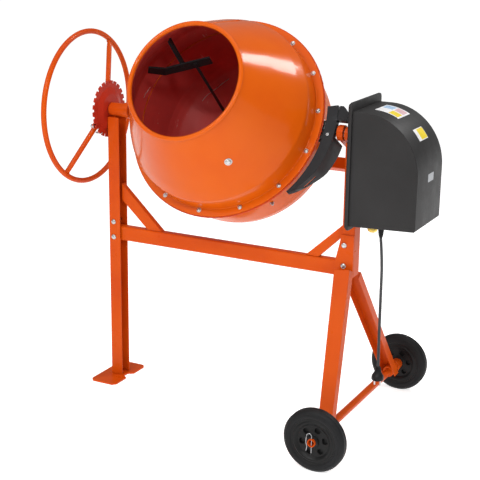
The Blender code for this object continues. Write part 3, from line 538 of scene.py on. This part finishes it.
# ------------------------------------------------------------ cord, plug and strain relief
knots = [(X_CORD, Y_CORD, 0.7000), (X_CORD, Y_CORD, 0.6600), (0.5530, Y_CORD, 0.6200), (0.5568, Y_CORD, 0.5600), (0.5575, Y_CORD, 0.4800), (0.5580, Y_CORD, 0.4000), (0.5588, Y_CORD, 0.3200), (0.5600, Y_CORD, 0.2420)]
route = [SH @ p for p in crom(knots, 5)]
cu = bpy.data.curves.new("power_lead", "CURVE")
cu.dimensions = "3D"
cu.bevel_depth = 0.0045
cu.bevel_resolution = 5
cu.use_fill_caps = True
sp = cu.splines.new("POLY")
sp.points.add(len(route) - 1)
for q, p in zip(sp.points, route):
    q.co = (*p, 1)
sp.use_smooth = True
lead = bpy.data.objects.new("power_lead", cu)
scene.collection.objects.link(lead)
cu.materials.append(M["cord"])
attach(lead, "stand")
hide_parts("power_cord")

zg = 0.6930 + 0.0090 * (X_CORD - X0 - 0.002) / (X_COVER - 0.003 - X0 - 0.002)
rel = [(0.0053, zg - 0.0010), (0.0125, zg - 0.0010), (0.0125, zg - 0.0050), (0.0112, zg - 0.0062)]
for i in range(7):
    z = zg - 0.0075 - i * 0.0040
    r = 0.0100 - i * 0.00052
    rel += [(r, z), (r, z - 0.0024), (r - 0.0012, z - 0.0028), (r - 0.0012, z - 0.0038)]
rel += [(0.0056, zg - 0.0375), (0.0050, zg - 0.0375)]
relief = obj("strain_relief", *lathe(rel, 32), "black", "stand", "cable_gland", SH @ Matrix.Translation((X_CORD, Y_CORD, 0)))
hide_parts("cable_gland")

zpl = 0.2417
PC = Matrix.Translation((0.560, Y_CORD, 0))
body = []
pl = [(0.1984, 0.0172, 0.0172), (0.1990, 0.0186, 0.0186), (0.2010, 0.0194, 0.0194), (0.2060, 0.0195, 0.0192), (0.2105, 0.0192, 0.0180), (0.2150, 0.0172, 0.0150), (0.2200, 0.0140, 0.0122), (0.2260, 0.0106, 0.0102), (0.2310, 0.0086, 0.0086), (0.2360, 0.0076, 0.0076), (zpl, 0.0072, 0.0072)]
V, F = [], []
ns = 32
V.append((0, 0, 0.1982))
for z, a, b_ in pl:
    for i in range(ns):
        t = 2 * pi * i / ns
        g = 1.0 - (0.045 if (0.201 < z < 0.218 and i % 4 == 0) else 0)
        V.append((a * g * cos(t), b_ * g * sin(t), z))
V.append((0, 0, zpl))
for i in range(ns):
    F.append((0, 1 + (i + 1) % ns, 1 + i))
    F.append((len(V) - 1, len(V) - 1 - ns + i, len(V) - 1 - ns + (i + 1) % ns))
for j in range(len(pl) - 1):
    for i in range(ns):
        l = (i + 1) % ns
        F.append((1 + j * ns + i, 1 + j * ns + l, 1 + (j + 1) * ns + l, 1 + (j + 1) * ns + i))
plug = obj("plug_body", V, F, "black", "stand", "plug", SH @ PC)
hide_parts("plug")
geo = []
for s in (-1, 1):
    geo.append(moved(lathe([(0, 0.1790), (0.0017, 0.1790), (0.0024, 0.1800), (0.0024, 0.1990), (0, 0.1990)], 16), (s * 0.0095, 0, 0)))
pins = obj("plug_pins", *cat(*geo), "zinc", "stand", "plug", SH @ PC)
ribs = []
for i in range(4):
    z = 0.2262 + i * 0.0040
    rr = 0.0106 - i * 0.0007
    ribs.append(lathe([(rr - 0.0012, z), (rr + 0.0004, z + 0.0003), (rr + 0.0004, z + 0.0017), (rr - 0.0012, z + 0.0020)], 24))
plugribs = obj("plug_ribs", *cat(*ribs), "black", "stand", "plug", SH @ PC)

# ------------------------------------------------------------ drum shells
NS = 144
def lathe_two(prof, kinds, n):
    V, F = lathe(prof, n)
    m = len(prof)
    fm = []
    for k in range(n):
        for i in range(m):
            fm.append(kinds[i])
    return V, F, fm

BC, RB = (0.1835, 0.342), 0.0075
up_out = [(0.3012, 0.0420, 0), (0.3300, 0.0420, 0.0007), (0.3300, 0.0445, 0.0007), (0.3060, 0.0445, 0.003), (0.3045, 0.0560, 0.005), (0.3040, 0.1120, 0.030), (0.2865, 0.1500, 0.040), (0.2430, 0.2340, 0.2), (0.1915, 0.3290, 0)]
up_out = fillet(up_out, False, 8)[:-1]
k = len(up_out)
cone = [(0.1915, 0.3290)]
bead = [(BC[0] + RB * cos(radians(a)), BC[1] + RB * sin(radians(a))) for a in range(-50, 216, 14)]
inner = [(0.1830, 0.3280)] + fillet([(0.1835, 0.3270, 0), (0.2404, 0.2330, 0.2), (0.2838, 0.1490, 0.040), (0.3012, 0.1110, 0.030), (0.3018, 0.0560, 0.005), (0.3018, 0.0450, 0)], False, 6)
prof = up_out + cone + bead + inner
kinds = [0] * (len(up_out) + len(cone) + len(bead) - 2) + [1] * (len(inner) + 2)
V, F, fm = lathe_two(prof, kinds[:len(prof)], NS)
upper = obj("drum_cone_shell", V, F, ["drumpaint", "inside"], "drum", "upper_drum", DR, 28, fm)
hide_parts("upper_drum")

lo = [(0.3300, 0.0417, 0.0007), (0.3300, 0.0392, 0.0007), (0.3060, 0.0392, 0.004), (0.3000, 0.0320, 0.006), (0.3000, -0.1250, 0.030), (0.2945, -0.1520, 0.02), (0.2790, -0.1730, 0.03), (0.1700, -0.2320, 0.03), (0.1200, -0.2520, 0.02), (0.0200, -0.2520, 0)]
li = [(0.0200, -0.2495, 0), (0.1190, -0.2495, 0.02), (0.1690, -0.2292, 0.03), (0.2775, -0.1707, 0.03), (0.2917, -0.1508, 0.02), (0.2975, -0.1250, 0.03), (0.2975, 0.0417, 0)]
a_, b_ = fillet([(0.2975, 0.0417, 0)] + lo, False, 5), fillet(li, False, 5)[:-1]
prof = a_ + b_
kinds = [0] * (len(a_)) + [1] * len(b_)
V, F, fm = lathe_two(prof, kinds, NS)
lower = obj("drum_pan_shell", V, F, ["drumpaint", "inside"], "drum", "lower_drum", DR, 28, fm)
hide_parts("lower_drum")

def dpt(r, a, h):
    return Vector((r * cos(radians(a)), r * sin(radians(a)), h))
# bolts round the flange, domed heads above
FB0, FBS = -140.4, 24.7
angs = [-140.4, -116.4, -91.3, -65.7, -40.0, -15.2, 9.0, 32.8, 57.2, 81.9, 106.1, 130.2, 154.3, 178.3, 199.0]
heads, nuts = [], []
for i, a in enumerate(angs):
    heads.append(place(dome_bolt(0.0056, 0.0036), dpt(0.3135, a, 0.0446), (0, 0, 1)))
obj("flange_bolt_heads", *cat(*heads), "zinc", "drum", "wheel_nut", DR)
# big bolts that hold the mixing arms to the cone
ch = []
nrm = lambda a: Vector((cos(radians(a)) * 0.8795, sin(radians(a)) * 0.8795, 0.4760))
for a in (-53.1, 126.9):
    p = dpt(0.2468, a, 0.2265)
    ch.append(place(lathe([(0, -0.0010), (0.0120, -0.0010), (0.0124, 0.0006), (0.0120, 0.0016), (0.0088, 0.0018)] + [(0.0088 * cos(radians(t)), 0.0020 + 0.0054 * sin(radians(t))) for t in range(10, 90, 12)] + [(0, 0.0074)], 28), p, nrm(a)))
obj("arm_bolt_heads", *cat(*ch), "zinc", "drum", "wheel_nut", DR)
# screws of the ring gear's brackets on the pan, just under the flange
pb = []
for i in range(6):
    a = -51.5 + 60 * i
    pb.append(place(cat(lathe([(0, 0), (0.0068, 0), (0.0068, 0.0012), (0, 0.0012)], 18), moved(hexnut(0.0095, 0.0048), (0, 0, 0.0012)), moved(stud(0.0027, 0.0035), (0, 0, 0.0058))), dpt(0.3004, a, -0.0494 if i % 2 == 0 else -0.030), (cos(radians(a)), sin(radians(a)), 0), 0.3 * i))
obj("pan_screws", *cat(*pb), "steel", "drum", "drum_shaft", DR)
# rub marks left by the mix on the paint inside
rm = []
for kn, w in (([(0.2574, 152.0, -0.1815), (0.2579, 147.2, -0.1813), (0.2557, 142.3, -0.1824), (0.2541, 134.6, -0.1833)], 0.0016),
              ([(0.2538, 140.7, -0.1835), (0.2541, 134.6, -0.1833), (0.2552, 129.7, -0.1827), (0.2568, 124.9, -0.1818)], 0.0024),
              ([(0.3018, 174.7, 0.0665), (0.3018, 170.9, 0.0629), (0.3018, 166.4, 0.0561)], 0.0011)):
    pth = crom([dpt(r_ - 0.0006, a_, h_ + (0.0006 if h_ < 0 else 0)) for r_, a_, h_ in kn], 5)
    n_ = len(pth)
    rm.append(sweep(pth, lambda i, t: [(u * w / 0.001 * (0.25 + 0.75 * sin(pi * max(0.0, min(1.0, t)))), v) for u, v in circ(0.001, 6)], lambda i, p: (p.x, p.y, 0.0)))
obj("rub_marks", *cat(*rm), "mark", "drum", "lower_drum", DR)
# rolled seam weld down the cone and the pan, on the side away from the mouth's front
seam = [dpt(0.2875 + (0.1915 - 0.2875) * t + 0.0004, 84, 0.1500 + (0.3280 - 0.1500) * t) for t in (0.0, 0.3, 0.6, 0.98)]
obj("cone_seam", *weld_geo(seam, 0.0013, 1.0, (0, 1, 0)), "drumpaint", "drum", "upper_drum", DR)
seam = [dpt(0.3001, 96, z) for z in (0.026, -0.05, -0.122)]
obj("pan_seam", *weld_geo(seam, 0.0013, 2.0, (0, 1, 0)), "drumpaint", "drum", "lower_drum", DR)

# ------------------------------------------------------------ hand wheel
def wp(r, a, x):
    return Vector((x, r * sin(radians(a)), r * cos(radians(a))))
parts = [sweep([wp(0.2535, 360 * i / 120, -0.549) for i in range(120)], circ(0.0092, 18), (1, 0, 0), True)]
obj_rim = None
for a in (32.3, 214.4):
    p0, p1 = wp(0.0205, a, -0.4797), wp(0.2468, a, -0.5472)
    n = 24
    path = [p0.lerp(p1, i / n) for i in range(n + 1)]
    def sec(i, t):
        k = max(0.0, (t - 0.90) / 0.10)
        q = max(0.0, (0.06 - t) / 0.06)
        return [(u * (0.0088 + 0.0018 * k + 0.0015 * q) / 0.0088, w * (1 - 0.30 * k - 0.2 * q)) for u, w in circ(0.0088, 18)]
    parts.append(sweep(path, sec, (1, 0, 0)))
hub = [(0.0153, -0.4860), (0.0205, -0.4860), (0.0222, -0.4850), (0.0225, -0.4838), (0.0225, -0.4722), (0.0218, -0.4710), (0.0205, -0.4705), (0.0153, -0.4705)]
parts.append(lathe(hub, 40, "x"))
tab = wp(0.0, 237, 0)
d_ = wp(1.0, 237, 0)
e_ = Vector((0, d_.z, -d_.y))
tabp = fillet([(0.020, -0.010, 0.001), (0.0935, -0.008, 0.006), (0.0985, 0.0, 0.004), (0.0935, 0.008, 0.006), (0.020, 0.010, 0.001)], True, 5)
tv = []
for x in (-0.4795, -0.4765):
    tv += [tuple(d_ * u + e_ * w + Vector((x, 0, 0))) for u, w in tabp]
nn = len(tabp)
parts.append((tv, [(i, (i + 1) % nn, nn + (i + 1) % nn, nn + i) for i in range(nn)] + [tuple(range(nn)), tuple(range(2 * nn - 1, nn - 1, -1))]))
hw = obj("hand_wheel_rim", *cat(*parts), "paint", "wheel_lock", "hand_wheel", TP)
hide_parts("hand_wheel")
wb = []
for a in (32.3, 214.4):
    dd = (wp(0.2468, a, -0.5472) - wp(0.0205, a, -0.4797)).normalized()
    c = wp(0.2435, a, -0.5462)
    s1 = Vector((1, 0, 0)) - dd * dd.x
    s1.normalize()
    s2 = dd.cross(s1)
    wb.append(weld_geo([tuple(c + s1 * 0.0080 * cos(t) + s2 * 0.0106 * sin(t) + dd * 0.0022 * abs(cos(t))) for t in [2 * pi * i / 20 for i in range(20)]], 0.0016, a, tuple(dd), True))
    c = wp(0.0240, a, -0.4807)
    wb.append(weld_geo([tuple(c + s1 * 0.0072 * cos(t) + s2 * 0.0108 * sin(t)) for t in [2 * pi * i / 20 for i in range(20)]], 0.0015, a + 3, tuple(dd), True))
obj("hand_wheel_welds", *cat(*wb), "paint", "wheel_lock", "hand_wheel", TP)
# guide barrel of the lock pin
q = wp(0.0905, 237, 0)
obj("lock_pin_barrel", *moved(lathe([(0.0037, -0.4862), (0.0064, -0.4862), (0.0070, -0.4855), (0.0070, -0.4752), (0.0064, -0.4745), (0.0037, -0.4745)], 24, "x"), (0, q.y, q.z)), "zinc", "wheel_lock", "lock_pin", TP)
# ------------------------------------------------------------ carriage bolts at the beam's ends
def cbolt(name, node, x, z, y0, y1):
    g = [place(cat(lathe([(0, 0), (0.0086, 0), (0.0090, 0.0005), (0.0088, 0.0012)] + [(0.0088 * cos(radians(t)), 0.0012 + 0.0042 * sin(radians(t))) for t in range(12, 90, 13)] + [(0, 0.0054)], 28)), (x, y0 - 0.0001, z), (0, -1, 0)),
         place(lathe([(0, 0), (0.0088, 0), (0.0088, 0.0014), (0, 0.0014)], 24), (x, y1 + 0.0003, z), (0, 1, 0)),
         place(hexnut(0.0130, 0.0056), (x, y1 + 0.0017, z), (0, 1, 0), 0.4),
         place(stud(0.0038, 0.0030), (x, y1 + 0.0073, z), (0, 1, 0))]
    o = obj(name, *cat(*g), "zinc", "stand", node)
    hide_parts(node)
cbolt("bolt_left_low", "left_bolt_lower", -0.438, 0.512, -0.0245, 0.0245)
cbolt("bolt_left_high", "left_bolt_upper", -0.438, 0.566, -0.0245, 0.0245)
cbolt("bolt_right_low", "right_bolt_lower", 0.418, 0.540, -0.0288, 0.0250)
cbolt("bolt_right_high", "right_bolt_upper", 0.418, 0.607, -0.0288, 0.0250)

# ------------------------------------------------------------ drive box cover
def cover_profile(d, xb, n=36):
    pts = [(xb, 0.6930 + d), (X_COVER - 0.003 - d, 0.7020 + d), (X_COVER - d, 0.7060 + d)]
    for i in range(n + 1):
        a = radians(90 * i / n)
        pts.append((0.500 + (X_COVER - 0.500 - d) * cos(a), 0.8640 + (0.1790 - d) * sin(a)))
    return pts + [(xb, 1.0430 - d)]
cov = raw("drive_cover", *prism(cover_profile(0, X0 + 0.0010), -0.1130, 0.1130, "y"))
bv = cov.modifiers.new("bevel", "BEVEL")
bv.width, bv.segments, bv.limit_method, bv.angle_limit, bv.profile = 0.0085, 5, "ANGLE", radians(30), 0.5
bake(cov)
cut(cov, [raw("c1", *prism(cover_profile(0.0032, X0 - 0.02), -0.1098, 0.1098, "y")), raw("c2", *prism([(X0 - 0.05, 0.6), (X0 + 0.0086, 0.6), (X0 + 0.0086, 1.1), (X0 - 0.05, 1.1)], -0.2, 0.2, "y"))])
cov.data.materials.clear()
cov.data.materials.append(M["cover"])
shade(cov, 40)
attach(cov, "stand")
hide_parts("motor_cover")
fl = obj("cover_flange", *ringprism(rrect(0.1205, 0.1945, 0.012, 8, 0.0, 0.8745), rrect(0.1085, 0.1650, 0.006, 8, 0.0, 0.8680), X0 + 0.0001, X0 + 0.0085, "x"), "cover", "stand", "motor_cover", bevel=0.0016, seg=3)
lip = []
po = [(0.1130, 0.6935), (0.1130, 1.0420)]
def cover_label(name, t0, t1, y0, y1, mat, off=0.0004, n=10):
    """patch that lies on the curved top; t is the angle along the arc in degrees"""
    V, F = [], []
    for lay, o_ in ((0, off), (1, -0.0006)):
        for i in range(n + 1):
            a = radians(t0 + (t1 - t0) * i / n)
            nx, nz = cos(a) / 0.173, sin(a) / 0.179
            l = sqrt(nx * nx + nz * nz)
            for y in (y0, y1):
                V.append((0.500 + 0.173 * cos(a) + o_ * nx / l, y, 0.8640 + 0.179 * sin(a) + o_ * nz / l))
    m = 2 * (n + 1)
    for i in range(n):
        F += [(2 * i, 2 * i + 1, 2 * i + 3, 2 * i + 2), (m + 2 * i, m + 2 * i + 2, m + 2 * i + 3, m + 2 * i + 1),
              (2 * i, 2 * i + 2, m + 2 * i + 2, m + 2 * i), (2 * i + 1, m + 2 * i + 1, m + 2 * i + 3, 2 * i + 3)]
    F += [(0, m, m + 1, 1), (2 * n, 2 * n + 1, m + 2 * n + 1, m + 2 * n)]
    return obj(name, V, F, mat, "stand", "motor_cover")
cover_label("plate_a", 62.0, 88.0, -0.044, 0.055, "l_white")
cover_label("plate_a_blue", 76.0, 86.5, 0.007, 0.047, "l_blue", 0.0006)
cover_label("plate_a_yellow", 64.0, 74.5, -0.038, 0.001, "l_yellow", 0.0006)
cover_label("plate_a_pink", 64.0, 74.5, 0.007, 0.047, "l_pink", 0.0006)
cover_label("plate_b", 32.0, 45.0, -0.032, 0.040, "l_white")
cover_label("plate_b_yellow", 32.8, 44.2, -0.010, 0.038, "l_yellow", 0.0006)
obj("plate_c", *prism(rrect(0.0245, 0.0122, 0.002, 4, 0.0075, 0.8475), X_COVER - 0.0004, X_COVER + 0.0004, "x"), "l_silver", "stand", "motor_cover")

# ------------------------------------------------------------ wheels
def wheel_vis(side, s):
    y = s * Y_WHEEL
    Mw = SH @ Matrix.Translation((X_AXLE, y, Z_AXLE))
    h = W_WHEEL / 2
    half = [(0.0722, h - 0.0026), (0.0745, h - 0.0010), (0.0790, h - 0.0002), (0.0832, h - 0.0002), (0.0850, h - 0.0012), (0.0868, h - 0.0006), (0.0892, h - 0.0014), (0.0918, h - 0.0034), (0.0945, h - 0.0052), (0.0968, h - 0.0085), (0.0978, h - 0.0108), (0.0989, h - 0.0114), (0.0989, 0.0035), (0.0982, 0.0028), (0.0982, 0.0012)]
    prof = half + [(r, -w) for r, w in half[::-1]]
    t = obj(side + "_tyre_ring", *lathe(prof, 96, "y"), "rubber", side + "_wheel", side + "_tyre", Mw, 40)
    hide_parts(side + "_tyre")
    b = R_AXLE + GAP
    hs = fillet([(b, -h + 0.0004, 0), (0.0190, -h + 0.0004, 0.0016), (0.0200, -h + 0.0062, 0.003), (0.0240, -h + 0.0075, 0.002), (0.0500, -h + 0.0082, 0.004), (0.0540, -h + 0.0040, 0.003), (0.0575, -h + 0.0012, 0.002), (0.0620, -h + 0.0012, 0.002), (0.0640, -h + 0.0034, 0.002), (0.0719, -h + 0.0030, 0.0006)], False, 6)
    hs += [(r, -w) for r, w in hs[::-1]]
    hb = obj(side + "_wheel_disc", *lathe(hs, 120, "y"), "hub", side + "_wheel", side + "_wheel_hub", Mw, 40)
    pk = []
    for sgn in (-1, 1):
        for i in range(6):
            a = 2 * pi * i / 6 + 0.35
            V, F = [], []
            for q, (hh, sc) in enumerate(((0.0030, 0.86), (0.0050, 0.97), (h - 0.0078, 1.0), (h - 0.0076, 1.10), (h, 1.16))):
                for k in range(28):
                    t = 2 * pi * k / 28
                    r = 0.0372 + 0.0088 * sc * (abs(cos(t)) ** 0.75) * (1 if cos(t) > 0 else -1)
                    w = 0.0098 * sc * (abs(sin(t)) ** 0.75) * (1 if sin(t) > 0 else -1)
                    V.append((r * sin(a) + w * cos(a), sgn * hh, r * cos(a) - w * sin(a)))
            for q in range(4):
                F += [(q * 28 + k, q * 28 + (k + 1) % 28, (q + 1) * 28 + (k + 1) % 28, (q + 1) * 28 + k) for k in range(28)]
            F += [tuple(range(28)), tuple(range(139, 111, -1))]
            pk.append(raw("pocket", V, F, Mw))
    cut(hb, pk)
    shade(hb, 32)
    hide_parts(side + "_wheel_hub")
    # R-clip through the axle
    yc = s * 0.3840
    out = R_AXLE + 0.0030
    kn = [(0, yc, -0.0330), (0, yc, -0.0200), (0, yc, 0.0), (0.0, yc, 0.0200)]
    arc = [(-out * 0.52 + out * 0.52 * cos(radians(22.5 * i)), yc, 0.0200 + out * 0.52 * sin(radians(22.5 * i))) for i in range(1, 9)]
    tail = [(-out * 1.04, yc + s * 0.002, 0.015), (-out * 1.10, yc + s * 0.002, 0), (-out * 0.90, yc + s * 0.002, -0.013), (-out * 1.0, yc + s * 0.003, -0.026)]
    path = crom(kn + arc + tail, 4)
    c = obj(side + "_clip_wire", *sweep(path, circ(0.0012, 10), (0, 1, 0)), "steel", "stand", side + "_r_clip", SH @ Matrix.Translation((X_AXLE, 0, Z_AXLE)))
    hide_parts(side + "_r_clip")
wheel_vis("near", -1)
wheel_vis("far", 1)

for s_, nm in ((-1, "near"), (1, "far")):
    sl = fillet([(R_AXLE + 0.0002, s_ * 0.2480, 0), (0.0185, s_ * 0.2480, 0.0015), (0.0185, s_ * 0.2960, 0.0010), (R_AXLE + 0.0002, s_ * 0.2960, 0)], True, 3)
    obj(nm + "_leg_sleeve", *lathe(sl, 40, "y"), "paint", "stand", nm + "_leg", SH @ Matrix.Translation((X_AXLE, 0, Z_AXLE)))
    collar = fillet([(0.0130, s_ * 0.3005, 0), (0.0200, s_ * 0.3005, 0.003), (0.0200, s_ * 0.3240, 0.003), (0.0130, s_ * 0.3240, 0)], True, 4)
    obj(nm + "_leg_collar", *lathe(collar, 40, "y"), "paint", "stand", nm + "_leg", SH @ Matrix.Translation((X_AXLE, 0, Z_AXLE)))
gs = [place(dome_bolt(0.0034, 0.0024), dpt(0.3540, a, 0.0340), (0, 0, 1)) for a in (-3.0,)]
obj("guard_screws", *cat(*gs), "zinc", "yoke", "wheel_nut", DR)

# ------------------------------------------------------------ CAD nodes that stay: fine edges and materials
KEEP = {
    "paint": "left_post foot_plate left_bearing_sleeve cross_beam left_brace right_brace right_post right_bearing_sleeve near_leg far_leg axle_tube yoke_left_arm yoke_right_arm yoke_cross_tube upper_drum lower_drum hand_wheel left_pivot_shaft",
    "disc_shade_paint": "lock_disc", "zinc": "left_bolt_lower left_bolt_upper right_bolt_lower right_bolt_upper near_r_clip far_r_clip wheel_nut motor_bracket lock_pin",
    "steel": "right_pivot_tube drum_bearing drum_shaft pinion_shaft motor_rotor", "brass": "pinion_bush belt_adjuster",
    "gear_shade_paint": "ring_gear", "iron": "pinion drum_bearing_housing", "blackpaint": "near_axle_washer far_axle_washer gear_guard mixing_arm_a mixing_arm_b motor_back_plate", "alu": "large_pulley motor_body",
    "belt": "drive_belt", "cord": "power_cord", "black": "cable_gland plug switch_housing", "cover": "motor_cover", "green": "start_button", "red": "stop_button",
    "grey": "capacitor", "spring": "lock_spring", "rubber": "near_tyre far_tyre", "hub": "near_wheel_hub far_wheel_hub"}
BEV = {"left_post": 0.0012, "foot_plate": 0.0010, "cross_beam": 0.0006, "left_brace": 0.0014, "right_brace": 0.0014, "right_post": 0.0008, "near_leg": 0.0014, "far_leg": 0.0014,
       "yoke_left_arm": 0.0018, "yoke_right_arm": 0.0018, "gear_guard": 0.0008, "mixing_arm_a": 0.0008, "mixing_arm_b": 0.0008, "motor_back_plate": 0.0010,
       "switch_housing": 0.0012, "start_button": 0.0010, "stop_button": 0.0010, "motor_bracket": 0.0008, "lock_disc": 0.0006, "wheel_nut": 0.0006, "ring_gear": 0.0004}
for m, names in KEEP.items():
    for n in names.split():
        o = NODES[n]
        if not o.material_slots:
            o.data.materials.append(M[m])
        for s in o.material_slots:
            s.material = M[m]
        if n in BEV:
            w = o.modifiers.new("join", "WELD")
            w.merge_threshold = 0.00001
            add_bevel(o, BEV[n])

# ------------------------------------------------------------ floor and lights
fm_, fnt, fb, ftc = nmat("floor")
n1 = tex(fnt, ftc, "Noise", 0.8, 3)
fnt.links.new(ramp(fnt, n1.outputs["Fac"], [(0.3, (0.90, 0.90, 0.90)), (0.7, (0.93, 0.93, 0.93))]).outputs["Color"], fb.inputs["Base Color"])
fb.inputs["Roughness"].default_value = 0.9
fb.inputs["Emission Color"].default_value = (1, 1, 1, 1)
fb.inputs["Emission Strength"].default_value = 0.60
me = bpy.data.meshes.new("floor")
me.from_pydata([(-60, -60, 0), (60, -60, 0), (60, 60, 0), (-60, 60, 0)], [], [(0, 1, 2, 3)])
floor = bpy.data.objects.new("floor", me)
scene.collection.objects.link(floor)
me.materials.append(fm_)

w = bpy.data.worlds.new("studio")
w.use_nodes = True
scene.world = w
wn = w.node_tree
bg = wn.nodes["Background"]
bg.inputs["Color"].default_value = (1, 1, 1, 1)
bg.inputs["Strength"].default_value = 0.27

def area(name, loc, target, sx, sy, power, col=(1, 1, 1)):
    l = bpy.data.lights.new(name, "AREA")
    l.shape = "RECTANGLE"
    l.size, l.size_y, l.energy, l.color = sx, sy, power, col
    o = bpy.data.objects.new(name, l)
    scene.collection.objects.link(o)
    o.location = loc
    o.rotation_euler = (Vector(target) - Vector(loc)).to_track_quat("-Z", "Y").to_euler()
    return o
area("key", (-0.4, -3.4, 3.0), (-0.05, -0.1, 0.95), 1.4, 1.4, 58)
area("fill", (3.6, -2.4, 1.2), (0, 0, 0.7), 1.6, 1.6, 12)
area("top", (0.3, 0.4, 4.2), (0, 0, 0.8), 2.4, 2.4, 30)
area("window", (1.52, 1.86, 2.84), (0.16, -0.12, 1.17), 0.70, 0.58, 40)
area("side", (1.7, -2.7, 2.7), (-0.20, -0.15, 1.0), 0.5, 0.5, 34)
sun = bpy.data.lights.new("sun", "SUN")
sun.energy = 0.85
sun.angle = radians(60)
so = bpy.data.objects.new("sun", sun)
scene.collection.objects.link(so)
so.rotation_euler = (radians(35), 0, radians(-25))
